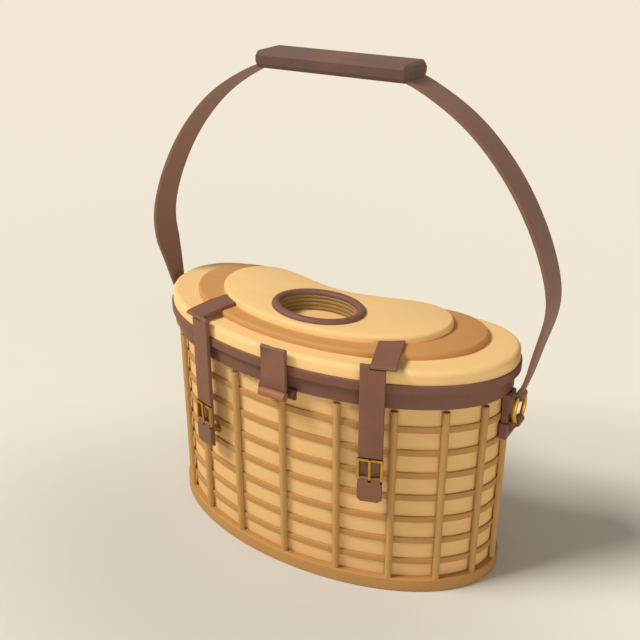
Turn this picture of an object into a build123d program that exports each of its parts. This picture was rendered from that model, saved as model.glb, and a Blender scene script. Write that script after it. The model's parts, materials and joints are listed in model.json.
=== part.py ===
"""Wicker fishing creel: a kidney-shaped basket with a three-tier hinged lid, a fish hole with an inner
trap flap, two buckled closing straps, a toggle latch and a swinging strap handle on two brass rings.

Millimetres, +Z up, X along the length (right end +X), the convex front at -Y.
The origin lies on the underside of the base, at the middle of the length.
"""
import os
from math import atan2, cos, degrees, exp, hypot, pi, radians, sin

from build123d import *

os.makedirs("parts", exist_ok=True)

# ---------------------------------------------------------------- plan of the basket
HALF_LENGTH = 175.0        # outer face of the rim band, middle to one end
FRONT_DEPTH = 97.5         # middle line to the front
LOBE_DEPTH = 112.0         # reach of the back lobes before the dent is taken out
DENT_DEPTH = 87.0          # depth of the dent in the back
DENT_SPREAD = 157.0        # how far along the length the dent reaches
OUTLINE_POINTS = 40        # points of the closed curve

# ---------------------------------------------------------------- basket body
RIM_TOP = 210.0            # top of the body
RIM_BAND_HEIGHT = 16.0
RIM_BAND_THICKNESS = 2.6
RIM_HOOP_THICKNESS = 2.9
WALL_THICKNESS = 5.0
BASE_PANEL_THICKNESS = 6.0
BASE_RIM_HEIGHT = 14.0
BASE_RIM_OVERHANG = 1.0    # beyond the rim band's face
BASE_RIM_CHAMFER = 1.5
WEAVER_COUNT = 7
WEAVER_FIRST_HEIGHT = 31.4
WEAVER_SPACING = 23.4
WEAVER_HEIGHT = 6.5
WEAVER_THICKNESS = 1.8
WEAVER_CHAMFER = 0.8
STAKE_COUNT = 20
STAKE_RADIUS = 3.2
STAKE_ROOT = 1.05          # straight part behind the rounded face
STAKE_GAP = 0.05           # flat back to the weavers, for the dent
STAKE_TOP_GAP = 3.0        # top of a stake below the rim band

# ---------------------------------------------------------------- lid
LID_GAP = 0.4              # between the body's rim and the lid
LIP_HEIGHT = 9.2
LIP_OUTSET = 5.0           # outer face of the leather lip beyond the rim band
LIP_THICKNESS = 2.8
LID_HOOP_THICKNESS = 12.7
LOWER_TIER_HEIGHT = 12.4
LOWER_TIER_OUTSET = 3.2
LOWER_TIER_ROUNDING = 5.0
LOWER_TIER_TOP_THICKNESS = 5.4
MIDDLE_TIER_HEIGHT = 6.0
MIDDLE_TIER_LENGTH_SHARE = 0.849
MIDDLE_TIER_DEPTH_SHARE = 0.869
MIDDLE_TIER_SHIFT = -0.4
UPPER_TIER_HEIGHT = 6.6
UPPER_TIER_LENGTH_SHARE = 0.667
UPPER_TIER_DEPTH_SHARE = 0.709
UPPER_TIER_SHIFT = -3.3
TIER_CHAMFER = 2.5

# ---------------------------------------------------------------- fish hole and trap flap
HOLE_OFFSET = 3.75         # hole's centre behind the middle of the plan's depth
HOLE_HALF_LENGTH = 41.5    # bore through the tiers
HOLE_HALF_DEPTH = 29.5
THROAT_THICKNESS = 4.0
THROAT_COILS = 4
THROAT_GROOVE = 1.4        # width and depth of the grooves between the coils
HOLE_RING_WIDTH = 8.0
HOLE_RING_HEIGHT = 5.5
HOLE_RING_ROUNDING = 3.0
FLAP_THICKNESS = 4.0
FLAP_EDGE_CLEARANCE = 2.0
FLAP_GAP = 0.3             # under the throat
FLAP_ARM_WIDTH = 10.0
FLAP_BARREL_RADIUS = 2.8
FLAP_PIN_RADIUS = 1.2
FLAP_PIN_DROP = 5.0        # pin's axis below the lid plate
FLAP_PIN_INSET = 1.5       # pin's axis in front of the bore's back edge
FLAP_EAR_THICKNESS = 2.5
FLAP_PLATE_LENGTH = 26.0
FLAP_PLATE_DEPTH = 10.5
FLAP_PLATE_THICKNESS = 1.5

# ---------------------------------------------------------------- straps, buckles and studs
STRAP_ANGLE = 29.5         # strap's place round the outline, from the middle of the front
STRAP_WIDTH = 21.4
STRAP_THICKNESS = 4.0
STRAP_CLEARANCE = 0.4      # strap to the lid's lip
STRAP_TOP = 238.0
STRAP_BOTTOM = 104.5
STRAP_CHAMFER = 0.6
TOP_STRAP_THICKNESS = 3.0
TOP_STRAP_SHIFT = 8.5      # sideways, away from the middle of the front
TOP_STRAP_BEND = -17.0     # inward of the outline, where it bends down from the middle tier
TOP_STRAP_REACH = 46.0
FOLD_PIN_RADIUS = 0.9
RUNNING_CLEARANCE = 0.06
SIDE_CLEARANCE = 0.3
HEEL_HEIGHT = 128.0
HEEL_RADIUS = 1.1
BUCKLE_WIDTH = 23.2
BUCKLE_HEIGHT = 19.8       # heel axis to the top of the frame
BUCKLE_BAR = 2.2
BUCKLE_MARGIN = 1.0        # buckle's top bar to the step in the strap
PRONG_WIDTH = 2.2
PRONG_THICKNESS = 1.6
PRONG_EYE_RADIUS = 2.0
PAD_STEP = 1.8             # thinning of the strap behind the buckle and the pad
PAD_THICKNESS = 3.4
PAD_SHOULDER = 123.6       # height where the pad widens to the strap's width
PAD_NECK_WIDTH = 18.2
PAD_CORNER = 3.0
PRONG_SLOT_WIDTH = 2.9
PRONG_SLOT_DROP = 3.6      # slot's lower end below the heel
PRONG_SLOT_RISE = 3.0      # and its upper end above it
STUD_HEIGHT = 115.0        # height above the base
STUD_FLANGE_RADIUS = 5.0
STUD_FLANGE_THICKNESS = 1.2
STUD_POST_RADIUS = 2.5
STUD_HEAD_RADIUS = 4.5
STUD_HEAD_THICKNESS = 1.0
STUD_DOME_RADIUS = 12.0
STUD_GAP = 0.3
SOCKET_RADIUS = 6.5
SOCKET_CUP_DEPTH = 0.7
SOCKET_FLOOR = 0.7

# ---------------------------------------------------------------- centre latch
LATCH_WIDTH = 25.2
LATCH_STANDOFF = 6.0       # tab's back beyond the rim band
LATCH_TOP = 236.5
LATCH_BOTTOM = 196.2
LATCH_ROUNDING = 2.0       # at the tab's top
LATCH_KNUCKLE_WIDTH = 10.0
LATCH_KNUCKLE_RADIUS = 1.3
LATCH_PIN_RADIUS = 0.7
ANCHOR_BOTTOM = 221.0
ANCHOR_PLATE_THICKNESS = 2.3
TOGGLE_LENGTH = 26.8
TOGGLE_RADIUS = 4.4
KEEPER_LENGTH = 36.4
KEEPER_RADIUS = 5.4
KEEPER_OUT = 1.1           # keeper's axis beyond the rim band
KEEPER_HEIGHT = 192.0
KEEPER_GAP = 0.4           # toggle to keeper
KEEPER_STAKE_GAP = 0.3

# ---------------------------------------------------------------- handle and its rings
RING_RADIUS = 13.1         # centre line of the wire
RING_WIRE_RADIUS = 2.1
RING_HEIGHT = 180.5
RING_OUTSET = 8.9          # ring's plane beyond the rim band
RING_CLEARANCE = 0.3
PATCH_WIDTH = 17.0
PATCH_THICKNESS = 2.0       # over the end stake
PATCH_STAKE_GAP = 0.1
PATCH_BOTTOM = 166.0
CHAPE_BOTTOM = 151.0
CHAPE_WIDTH = 11.0
CHAPE_FOOT_WIDTH = 21.0
CHAPE_FOOT_THICKNESS = 3.0  # over the end stake
LOOP_LEATHER = 1.6
LOOP_SHIFT = 0.5           # the loops' centres lie this far inside the ring's centre line
HANDLE_REACH = 203.0       # middle to the widest part of the handle
HANDLE_WIDEST = 284.0      # height of the widest part
HANDLE_RISE = 178.0        # rise of the full arch above the widest part
HANDLE_ROUNDNESS = 1.18
HANDLE_TOP = 450.0         # mid-thickness of the strap under the grip
HANDLE_FLAT = 60.0         # half the straight stretch under the grip
HANDLE_THICKNESS = 3.0
HANDLE_WIDTH = 31.0
HANDLE_LOOP_WIDTH = 13.0
HANDLE_SPRING_ANGLE = 1.22   # how far round the full arch the curve is followed
HANDLE_ARCH_STEPS = 6
HANDLE_LEG_LEAN = 4.2        # leg's outward lean where the taper starts
HANDLE_FOOT_OUT = 0.6        # leg's foot beyond the ring, and above its centre line
HANDLE_FOOT_RISE = 2.6
HANDLE_LEG_BULGE = 1.5
HANDLE_FOOT_SLOPE = (0.25, 1)
HANDLE_TAPER_START = 208.0
HANDLE_TAPER_END = 262.0
GRIP_LENGTH = 140.0
GRIP_WIDTH = 37.0
GRIP_THICKNESS = 9.5
GRIP_CHAMFER = 2.6

# ---------------------------------------------------------------- lid hinges
HINGE_PLACE = 120.0        # along the length, from the middle
HINGE_LEAF_WIDTH = 26.0
HINGE_LEAF_THICKNESS = 2.2
HINGE_KNUCKLE_RADIUS = 3.0
HINGE_PIN_RADIUS = 1.4
HINGE_MIDDLE_KNUCKLE = 9.4
HINGE_AXIS_CLEARANCE = 0.7   # knuckle to the lip's face
HINGE_BODY_LEAF_BOTTOM = 195.5

# ---------------------------------------------------------------- sizes that follow from these
WALL_OUTER = -(RIM_BAND_THICKNESS + RIM_HOOP_THICKNESS)
WALL_INNER = WALL_OUTER - WALL_THICKNESS
WEAVER_OUTER = WALL_OUTER + WEAVER_THICKNESS
RIM_BAND_BOTTOM = RIM_TOP - RIM_BAND_HEIGHT
LID_BOTTOM = RIM_TOP + LID_GAP
LOWER_TIER_BOTTOM = LID_BOTTOM + LIP_HEIGHT
LOWER_TIER_TOP = LOWER_TIER_BOTTOM + LOWER_TIER_HEIGHT
MIDDLE_TIER_TOP = LOWER_TIER_TOP + MIDDLE_TIER_HEIGHT
LID_TOP = MIDDLE_TIER_TOP + UPPER_TIER_HEIGHT
LID_PLATE_BOTTOM = LOWER_TIER_TOP - LOWER_TIER_TOP_THICKNESS
BACK_Y = LOBE_DEPTH - DENT_DEPTH
HOLE_CENTRE_Y = (BACK_Y - FRONT_DEPTH) / 2 + HOLE_OFFSET
STRAP_STANDOFF = LIP_OUTSET + STRAP_CLEARANCE
STRAP_MIDDLE = STRAP_STANDOFF + STRAP_THICKNESS / 2
STRAP_FACE = STRAP_STANDOFF + STRAP_THICKNESS
FOLD_RADIUS = STRAP_THICKNESS / 2
FOLD_HEIGHT = STRAP_TOP - FOLD_RADIUS
PAD_BACK = STRAP_FACE - PAD_STEP
HEEL_OUT = PAD_BACK + PAD_THICKNESS / 2
BUCKLE_TOP = HEEL_HEIGHT + BUCKLE_HEIGHT
LATCH_FACE = LATCH_STANDOFF + STRAP_THICKNESS
LATCH_PIN_OUT = LATCH_STANDOFF + LATCH_KNUCKLE_RADIUS
LATCH_PIN_HEIGHT = LATCH_TOP - LATCH_ROUNDING
STAKE_BACK = WEAVER_OUTER + STAKE_GAP
STAKE_FACE = STAKE_BACK + STAKE_ROOT + STAKE_RADIUS
STAKE_TOP = RIM_BAND_BOTTOM - STAKE_TOP_GAP
RING_X = HALF_LENGTH + RING_OUTSET
FRONT = 270.0              # angle of the middle of the front, in degrees round the outline


def save(name, builder):
    """Label a finished piece and write it out."""
    builder.part.label = name
    export_step(builder.part, f"parts/{name}.step")


def plan_point(angle, length_share, depth_share, shift):
    """Point of the kidney plan at an angle counted round from the right-hand end."""
    x = HALF_LENGTH * cos(angle)
    if sin(angle) < 0:
        y = FRONT_DEPTH * sin(angle)
    else:
        y = (LOBE_DEPTH - DENT_DEPTH * exp(-((x / DENT_SPREAD) ** 2))) * sin(angle)
    return x * length_share, y * depth_share + shift


def outline_frame(angle, grow=0.0, length_share=1.0, depth_share=1.0, shift=0.0):
    """Point of the plan, moved outwards by grow, and its outward normal."""
    small = 1e-4
    x, y = plan_point(angle, length_share, depth_share, shift)
    before = plan_point(angle - small, length_share, depth_share, shift)
    after = plan_point(angle + small, length_share, depth_share, shift)
    along_x, along_y = after[0] - before[0], after[1] - before[1]
    length = hypot(along_x, along_y)
    normal = (along_y / length, -along_x / length)
    return (x + grow * normal[0], y + grow * normal[1]), normal


def outline_points(grow, length_share=1.0, depth_share=1.0, shift=0.0):
    """Points round the plan, moved outwards by grow."""
    angles = [2 * pi * step / OUTLINE_POINTS for step in range(OUTLINE_POINTS)]
    return [outline_frame(angle, grow, length_share, depth_share, shift)[0] for angle in angles]


def kidney(height, grow=0.0, inner=None, shares=(1.0, 1.0), shift=0.0):
    """Face of the kidney plan at a height, or the ring left when an inner outline is given."""
    with BuildSketch(Plane.XY.offset(height)) as face:
        with BuildLine():
            Spline(outline_points(grow, *shares, shift), periodic=True)
        make_face()
        if inner is not None:
            with BuildLine():
                Spline(outline_points(inner, *shares, shift), periodic=True)
            make_face(mode=Mode.SUBTRACT)
    return face.sketch


def middle_tier_plan(height):
    return kidney(height, shares=(MIDDLE_TIER_LENGTH_SHARE, MIDDLE_TIER_DEPTH_SHARE), shift=MIDDLE_TIER_SHIFT)


def upper_tier_plan(height):
    return kidney(height, shares=(UPPER_TIER_LENGTH_SHARE, UPPER_TIER_DEPTH_SHARE), shift=UPPER_TIER_SHIFT)


def hole_plan(height, grow=0.0, inner=None):
    """Oval of the fish hole at a height, or the ring left when an inner oval is given."""
    with BuildSketch(Plane.XY.offset(height)) as face:
        with Locations((0, HOLE_CENTRE_Y)):
            Ellipse(HOLE_HALF_LENGTH + grow, HOLE_HALF_DEPTH + grow)
            if inner is not None:
                Ellipse(HOLE_HALF_LENGTH + inner, HOLE_HALF_DEPTH + inner, mode=Mode.SUBTRACT)
    return face.sketch


def wall_plane(degrees_round, grow=0.0, height=0.0):
    """Plane against the wall: X along it, Y up, Z outwards."""
    (x, y), normal = outline_frame(radians(degrees_round), grow)
    return Plane(origin=(x, y, height), x_dir=(-normal[1], normal[0], 0), z_dir=(*normal, 0))


def section_plane(degrees_round, along=0.0):
    """Plane across the wall: X outwards, Y up, with its normal along the wall."""
    (x, y), normal = outline_frame(radians(degrees_round))
    tangent = (-normal[1], normal[0])
    origin = (x + along * tangent[0], y + along * tangent[1], 0)
    return Plane(origin=origin, x_dir=(*normal, 0), z_dir=(-tangent[0], -tangent[1], 0))


# ================================================================ basket body
def make_basket():
    with BuildPart() as base_panel:
        extrude(kidney(0, WALL_INNER), amount=BASE_PANEL_THICKNESS)
    save("base_panel", base_panel)

    with BuildPart() as basket_wall:
        extrude(kidney(0, WALL_OUTER, WALL_INNER), amount=RIM_TOP)
    save("basket_wall", basket_wall)

    with BuildPart() as base_rim:
        extrude(kidney(0, BASE_RIM_OVERHANG, WALL_OUTER), amount=BASE_RIM_HEIGHT)
        chamfer(base_rim.faces().sort_by(Axis.Z)[-1].outer_wire().edges(), BASE_RIM_CHAMFER)
    save("base_rim", base_rim)

    with BuildPart() as first_band:
        extrude(kidney(WEAVER_FIRST_HEIGHT - WEAVER_HEIGHT / 2, WEAVER_OUTER, WALL_OUTER),
                amount=WEAVER_HEIGHT)
        levels = first_band.faces().sort_by(Axis.Z)
        chamfer(levels[0].outer_wire().edges() + levels[-1].outer_wire().edges(), WEAVER_CHAMFER)
    for number in range(WEAVER_COUNT):
        with BuildPart() as weaver_band:
            with Locations((0, 0, number * WEAVER_SPACING)):
                add(first_band.part)
        save(f"weaver_band_{number + 1}", weaver_band)

    with BuildSketch() as stake_section:
        with BuildLine():
            Polyline((STAKE_ROOT, -STAKE_RADIUS), (0, -STAKE_RADIUS), (0, STAKE_RADIUS),
                     (STAKE_ROOT, STAKE_RADIUS))
            ThreePointArc((STAKE_ROOT, STAKE_RADIUS), (STAKE_ROOT + STAKE_RADIUS, 0),
                          (STAKE_ROOT, -STAKE_RADIUS))
        make_face()
    with BuildPart() as wall_stakes:
        with BuildSketch(Plane.XY.offset(BASE_RIM_HEIGHT)):
            for number in range(STAKE_COUNT):
                angle = radians(FRONT + number * 360 / STAKE_COUNT)
                point, normal = outline_frame(angle, STAKE_BACK)
                with Locations(point):
                    add(stake_section.sketch, rotation=degrees(atan2(normal[1], normal[0])))
        extrude(amount=STAKE_TOP - BASE_RIM_HEIGHT)
    save("wall_stakes", wall_stakes)

    with BuildPart() as rim_hoop:
        extrude(kidney(RIM_BAND_BOTTOM, -RIM_BAND_THICKNESS, WALL_OUTER), amount=RIM_BAND_HEIGHT)
    save("rim_hoop", rim_hoop)

    with BuildPart() as rim_band:
        extrude(kidney(RIM_BAND_BOTTOM, 0, -RIM_BAND_THICKNESS), amount=RIM_BAND_HEIGHT)
    save("rim_band", rim_band)


# ================================================================ lid
def make_lid():
    lip_inner = LIP_OUTSET - LIP_THICKNESS
    hoop_inner = lip_inner - LID_HOOP_THICKNESS
    with BuildPart() as lid_hoop:
        extrude(kidney(LID_BOTTOM, lip_inner, hoop_inner), amount=LIP_HEIGHT)
    save("lid_hoop", lid_hoop)

    with BuildPart() as lid_lip:
        extrude(kidney(LID_BOTTOM, LIP_OUTSET, lip_inner), amount=LIP_HEIGHT)
    save("lid_edge_binding", lid_lip)

    with BuildPart() as lower_tier:
        extrude(kidney(LOWER_TIER_BOTTOM, LOWER_TIER_OUTSET), amount=LOWER_TIER_HEIGHT)
        fillet(lower_tier.faces().sort_by(Axis.Z)[-1].edges(), LOWER_TIER_ROUNDING)
        pocket = LOWER_TIER_HEIGHT - LOWER_TIER_TOP_THICKNESS
        extrude(kidney(LOWER_TIER_BOTTOM, hoop_inner), amount=pocket, mode=Mode.SUBTRACT)
        extrude(hole_plan(LOWER_TIER_BOTTOM), amount=LOWER_TIER_HEIGHT, mode=Mode.SUBTRACT)
    save("lid_lower_tier", lower_tier)

    with BuildPart() as middle_tier:
        extrude(middle_tier_plan(LOWER_TIER_TOP), amount=MIDDLE_TIER_HEIGHT)
        chamfer(middle_tier.faces().sort_by(Axis.Z)[-1].edges(), TIER_CHAMFER)
        extrude(hole_plan(LOWER_TIER_TOP), amount=MIDDLE_TIER_HEIGHT, mode=Mode.SUBTRACT)
    save("lid_middle_tier", middle_tier)

    with BuildPart() as upper_tier:
        extrude(upper_tier_plan(MIDDLE_TIER_TOP), amount=UPPER_TIER_HEIGHT)
        chamfer(upper_tier.faces().sort_by(Axis.Z)[-1].edges(), TIER_CHAMFER)
        extrude(hole_plan(MIDDLE_TIER_TOP), amount=UPPER_TIER_HEIGHT, mode=Mode.SUBTRACT)
    save("lid_upper_tier", upper_tier)


def make_fish_hole():
    flap_top = LID_PLATE_BOTTOM + FLAP_THICKNESS / 2
    throat_bottom = flap_top + FLAP_GAP
    coil_height = (LID_TOP - throat_bottom) / THROAT_COILS
    with BuildPart() as throat_coils:
        extrude(hole_plan(throat_bottom, 0, -THROAT_THICKNESS), amount=LID_TOP - throat_bottom)
        for number in range(1, THROAT_COILS):
            groove = throat_bottom + number * coil_height - THROAT_GROOVE / 2
            extrude(hole_plan(groove, THROAT_GROOVE - THROAT_THICKNESS), amount=THROAT_GROOVE,
                    mode=Mode.SUBTRACT)
    save("throat_coils", throat_coils)

    with BuildPart() as hole_ring:
        extrude(hole_plan(LID_TOP, HOLE_RING_WIDTH - THROAT_THICKNESS, -THROAT_THICKNESS),
                amount=HOLE_RING_HEIGHT)
        fillet(hole_ring.faces().sort_by(Axis.Z)[-1].edges(), HOLE_RING_ROUNDING)
    save("hole_ring", hole_ring)

    pin_y = HOLE_CENTRE_Y + HOLE_HALF_DEPTH - FLAP_PIN_INSET
    pin_z = LID_PLATE_BOTTOM - FLAP_PIN_DROP
    arm_half = FLAP_ARM_WIDTH / 2
    with BuildPart() as fish_flap:
        extrude(hole_plan(flap_top - FLAP_THICKNESS, -FLAP_EDGE_CLEARANCE), amount=FLAP_THICKNESS)
        with BuildSketch(Plane.YZ):
            with BuildLine():
                Polyline((pin_y, pin_z), (pin_y - FLAP_BARREL_RADIUS, pin_z),
                         (pin_y - 2 * FLAP_BARREL_RADIUS, flap_top - FLAP_THICKNESS),
                         (pin_y - FLAP_BARREL_RADIUS / 2, flap_top - FLAP_THICKNESS), close=True)
            make_face()
            with Locations((pin_y, pin_z)):
                Circle(FLAP_BARREL_RADIUS)
                Circle(FLAP_PIN_RADIUS + RUNNING_CLEARANCE, mode=Mode.SUBTRACT)
        extrude(amount=arm_half, both=True)
    save("fish_flap", fish_flap)

    ear_inner = arm_half + SIDE_CLEARANCE
    ear_outer = ear_inner + FLAP_EAR_THICKNESS
    with BuildPart() as flap_hinge_bracket:
        plate_y = pin_y + FLAP_PIN_INSET + FLAP_PLATE_DEPTH / 2
        with BuildSketch(Plane.XY.offset(LID_PLATE_BOTTOM)):
            with Locations((0, plate_y)):
                Rectangle(FLAP_PLATE_LENGTH, FLAP_PLATE_DEPTH)
        extrude(amount=-FLAP_PLATE_THICKNESS)
        for side in (-1, 1):
            with BuildSketch(Plane.YZ.offset(side * ear_inner)):
                with BuildLine():
                    Polyline((pin_y, pin_z - FLAP_BARREL_RADIUS), (pin_y, pin_z + FLAP_BARREL_RADIUS),
                             (plate_y - FLAP_PLATE_DEPTH / 2, LID_PLATE_BOTTOM),
                             (plate_y, LID_PLATE_BOTTOM), close=True)
                make_face()
                with Locations((pin_y, pin_z)):
                    Circle(FLAP_BARREL_RADIUS)
                    Circle(FLAP_PIN_RADIUS, mode=Mode.SUBTRACT)
            extrude(amount=side * FLAP_EAR_THICKNESS)
    save("flap_hinge_bracket", flap_hinge_bracket)

    with BuildPart() as flap_hinge_pin:
        with BuildSketch(Plane.YZ):
            with Locations((pin_y, pin_z)):
                Circle(FLAP_PIN_RADIUS)
        extrude(amount=ear_outer, both=True)
    save("flap_hinge_pin", flap_hinge_pin)


# ================================================================ closing straps
def rod(plane, out, height, radius, half_length):
    """Round bar along the wall, centred on a section plane."""
    with BuildPart() as bar:
        with BuildSketch(plane):
            with Locations((out, height)):
                Circle(radius)
        extrude(amount=half_length, both=True)
    return bar.part


def make_top_strap(side, outward):
    """Strap stitched to the lid. It bends over the middle tier and holds the fold pin in a lug at its front."""
    place = FRONT + outward * STRAP_ANGLE
    half = STRAP_WIDTH / 2
    section = section_plane(place, outward * TOP_STRAP_SHIFT)
    flat_top = MIDDLE_TIER_TOP + TOP_STRAP_THICKNESS
    lug_half = half
    with BuildPart() as top_strap:
        with BuildSketch(section):
            with BuildLine():
                Polyline((STRAP_MIDDLE, STRAP_TOP), (TOP_STRAP_BEND, flat_top), (-TOP_STRAP_REACH, flat_top),
                         (-TOP_STRAP_REACH, MIDDLE_TIER_TOP), (TOP_STRAP_BEND, MIDDLE_TIER_TOP),
                         (STRAP_STANDOFF, STRAP_TOP - TOP_STRAP_THICKNESS), (STRAP_MIDDLE, FOLD_HEIGHT),
                         close=True)
            make_face()
            with Locations((STRAP_MIDDLE, FOLD_HEIGHT)):
                Circle(FOLD_RADIUS)
                Circle(FOLD_PIN_RADIUS, mode=Mode.SUBTRACT)
        extrude(amount=lug_half, both=True)
        extrude(upper_tier_plan(MIDDLE_TIER_TOP), amount=LID_TOP - MIDDLE_TIER_TOP, mode=Mode.SUBTRACT)
    save(f"{side}_top_strap", top_strap)

    with BuildPart() as strap_fold_pin:
        reach = half + TOP_STRAP_SHIFT / 2
        add(rod(section_plane(place, outward * TOP_STRAP_SHIFT / 2), STRAP_MIDDLE, FOLD_HEIGHT,
                FOLD_PIN_RADIUS, reach))
    save(f"{side}_strap_fold_pin", strap_fold_pin)


def make_closing_strap(side, outward):
    """Buckled strap that hangs from the fold pin, beside the top strap's lug."""
    place = FRONT + outward * STRAP_ANGLE
    half = STRAP_WIDTH / 2
    section = section_plane(place)
    with BuildPart() as closing_strap:
        with BuildSketch(wall_plane(place, STRAP_STANDOFF)):
            with Locations((0, STRAP_BOTTOM)):
                Rectangle(STRAP_WIDTH, FOLD_HEIGHT - STRAP_BOTTOM, align=(Align.CENTER, Align.MIN))
        extrude(amount=STRAP_THICKNESS)
        chamfer(closing_strap.edges().filter_by(Axis.Z), STRAP_CHAMFER)
        add(rod(section, STRAP_MIDDLE, FOLD_HEIGHT, FOLD_RADIUS, half))
        lug_middle = outward * (TOP_STRAP_SHIFT - SIDE_CLEARANCE)
        add(rod(section_plane(place, lug_middle), STRAP_MIDDLE, FOLD_HEIGHT,
                FOLD_RADIUS + SIDE_CLEARANCE, half), mode=Mode.SUBTRACT)
        with BuildSketch(wall_plane(place, STRAP_STANDOFF)):
            with Locations((lug_middle, FOLD_HEIGHT)):
                Rectangle(STRAP_WIDTH, STRAP_THICKNESS, align=(Align.CENTER, Align.MIN))
        extrude(amount=STRAP_THICKNESS, mode=Mode.SUBTRACT)
        with BuildSketch(wall_plane(place, STRAP_STANDOFF)):
            with Locations((lug_middle, FOLD_HEIGHT - FOLD_RADIUS - SIDE_CLEARANCE)):
                Rectangle(STRAP_WIDTH, STRAP_THICKNESS, align=(Align.CENTER, Align.MIN))
        extrude(amount=STRAP_THICKNESS, mode=Mode.SUBTRACT)
        add(rod(section, STRAP_MIDDLE, FOLD_HEIGHT, FOLD_PIN_RADIUS + RUNNING_CLEARANCE, half),
            mode=Mode.SUBTRACT)
        with BuildSketch(wall_plane(place, STRAP_FACE)):
            with Locations((0, STRAP_BOTTOM)):
                Rectangle(STRAP_WIDTH, BUCKLE_TOP + BUCKLE_MARGIN - STRAP_BOTTOM,
                          align=(Align.CENTER, Align.MIN))
        extrude(amount=-PAD_STEP, mode=Mode.SUBTRACT)
        with BuildSketch(wall_plane(place, STRAP_STANDOFF)):
            with Locations((0, HEEL_HEIGHT - PRONG_SLOT_DROP)):
                Rectangle(PRONG_SLOT_WIDTH, PRONG_SLOT_DROP + PRONG_SLOT_RISE,
                          align=(Align.CENTER, Align.MIN))
        extrude(amount=STRAP_THICKNESS, mode=Mode.SUBTRACT)
    save(f"{side}_closing_strap", closing_strap)

    with BuildPart() as strap_end:
        neck_half = PAD_NECK_WIDTH / 2
        with BuildSketch(wall_plane(place, PAD_BACK)):
            with BuildLine():
                Polyline((-half, STRAP_BOTTOM + PAD_CORNER), (-half + PAD_CORNER, STRAP_BOTTOM),
                         (half - PAD_CORNER, STRAP_BOTTOM), (half, STRAP_BOTTOM + PAD_CORNER),
                         (half, PAD_SHOULDER), (neck_half, PAD_SHOULDER), (neck_half, HEEL_HEIGHT),
                         (-neck_half, HEEL_HEIGHT), (-neck_half, PAD_SHOULDER), (-half, PAD_SHOULDER),
                         close=True)
            make_face()
        extrude(amount=PAD_THICKNESS)
        add(rod(section, HEEL_OUT, HEEL_HEIGHT, PAD_THICKNESS / 2, neck_half))
        add(rod(section, HEEL_OUT, HEEL_HEIGHT, HEEL_RADIUS + RUNNING_CLEARANCE, half), mode=Mode.SUBTRACT)
        with BuildSketch(wall_plane(place, PAD_BACK)):
            with Locations((0, HEEL_HEIGHT - PRONG_SLOT_DROP)):
                Rectangle(PRONG_SLOT_WIDTH, PRONG_SLOT_DROP + PAD_THICKNESS,
                          align=(Align.CENTER, Align.MIN))
        extrude(amount=PAD_THICKNESS, mode=Mode.SUBTRACT)
    save(f"{side}_strap_end", strap_end)

    make_buckle(side, place)
    make_press_stud(side, place)


def make_buckle(side, place):
    """Rectangular buckle frame on its heel bar, and the prong that turns on the same bar."""
    section = section_plane(place)
    frame_half = BUCKLE_WIDTH / 2
    with BuildPart() as buckle_frame:
        with BuildSketch(wall_plane(place, HEEL_OUT - BUCKLE_BAR / 2)):
            with Locations((0, HEEL_HEIGHT - BUCKLE_BAR / 2)):
                Rectangle(BUCKLE_WIDTH, BUCKLE_HEIGHT + BUCKLE_BAR / 2, align=(Align.CENTER, Align.MIN))
            with Locations((0, HEEL_HEIGHT - BUCKLE_BAR)):
                Rectangle(BUCKLE_WIDTH - 2 * BUCKLE_BAR, BUCKLE_HEIGHT, align=(Align.CENTER, Align.MIN),
                          mode=Mode.SUBTRACT)
        extrude(amount=BUCKLE_BAR)
        add(rod(section, HEEL_OUT, HEEL_HEIGHT, HEEL_RADIUS, frame_half - BUCKLE_BAR / 2))
    save(f"{side}_buckle_frame", buckle_frame)

    with BuildPart() as buckle_prong:
        rest = HEEL_OUT + BUCKLE_BAR / 2 + SIDE_CLEARANCE
        with BuildSketch(section):
            with Locations((HEEL_OUT, HEEL_HEIGHT)):
                Circle(PRONG_EYE_RADIUS)
            with BuildLine():
                Polyline((HEEL_OUT, HEEL_HEIGHT), (HEEL_OUT + PRONG_EYE_RADIUS, HEEL_HEIGHT),
                         (rest + PRONG_THICKNESS, BUCKLE_TOP), (rest, BUCKLE_TOP), close=True)
            make_face()
            with Locations((HEEL_OUT, HEEL_HEIGHT)):
                Circle(HEEL_RADIUS + RUNNING_CLEARANCE, mode=Mode.SUBTRACT)
        extrude(amount=PRONG_WIDTH / 2, both=True)
    save(f"{side}_buckle_prong", buckle_prong)


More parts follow.
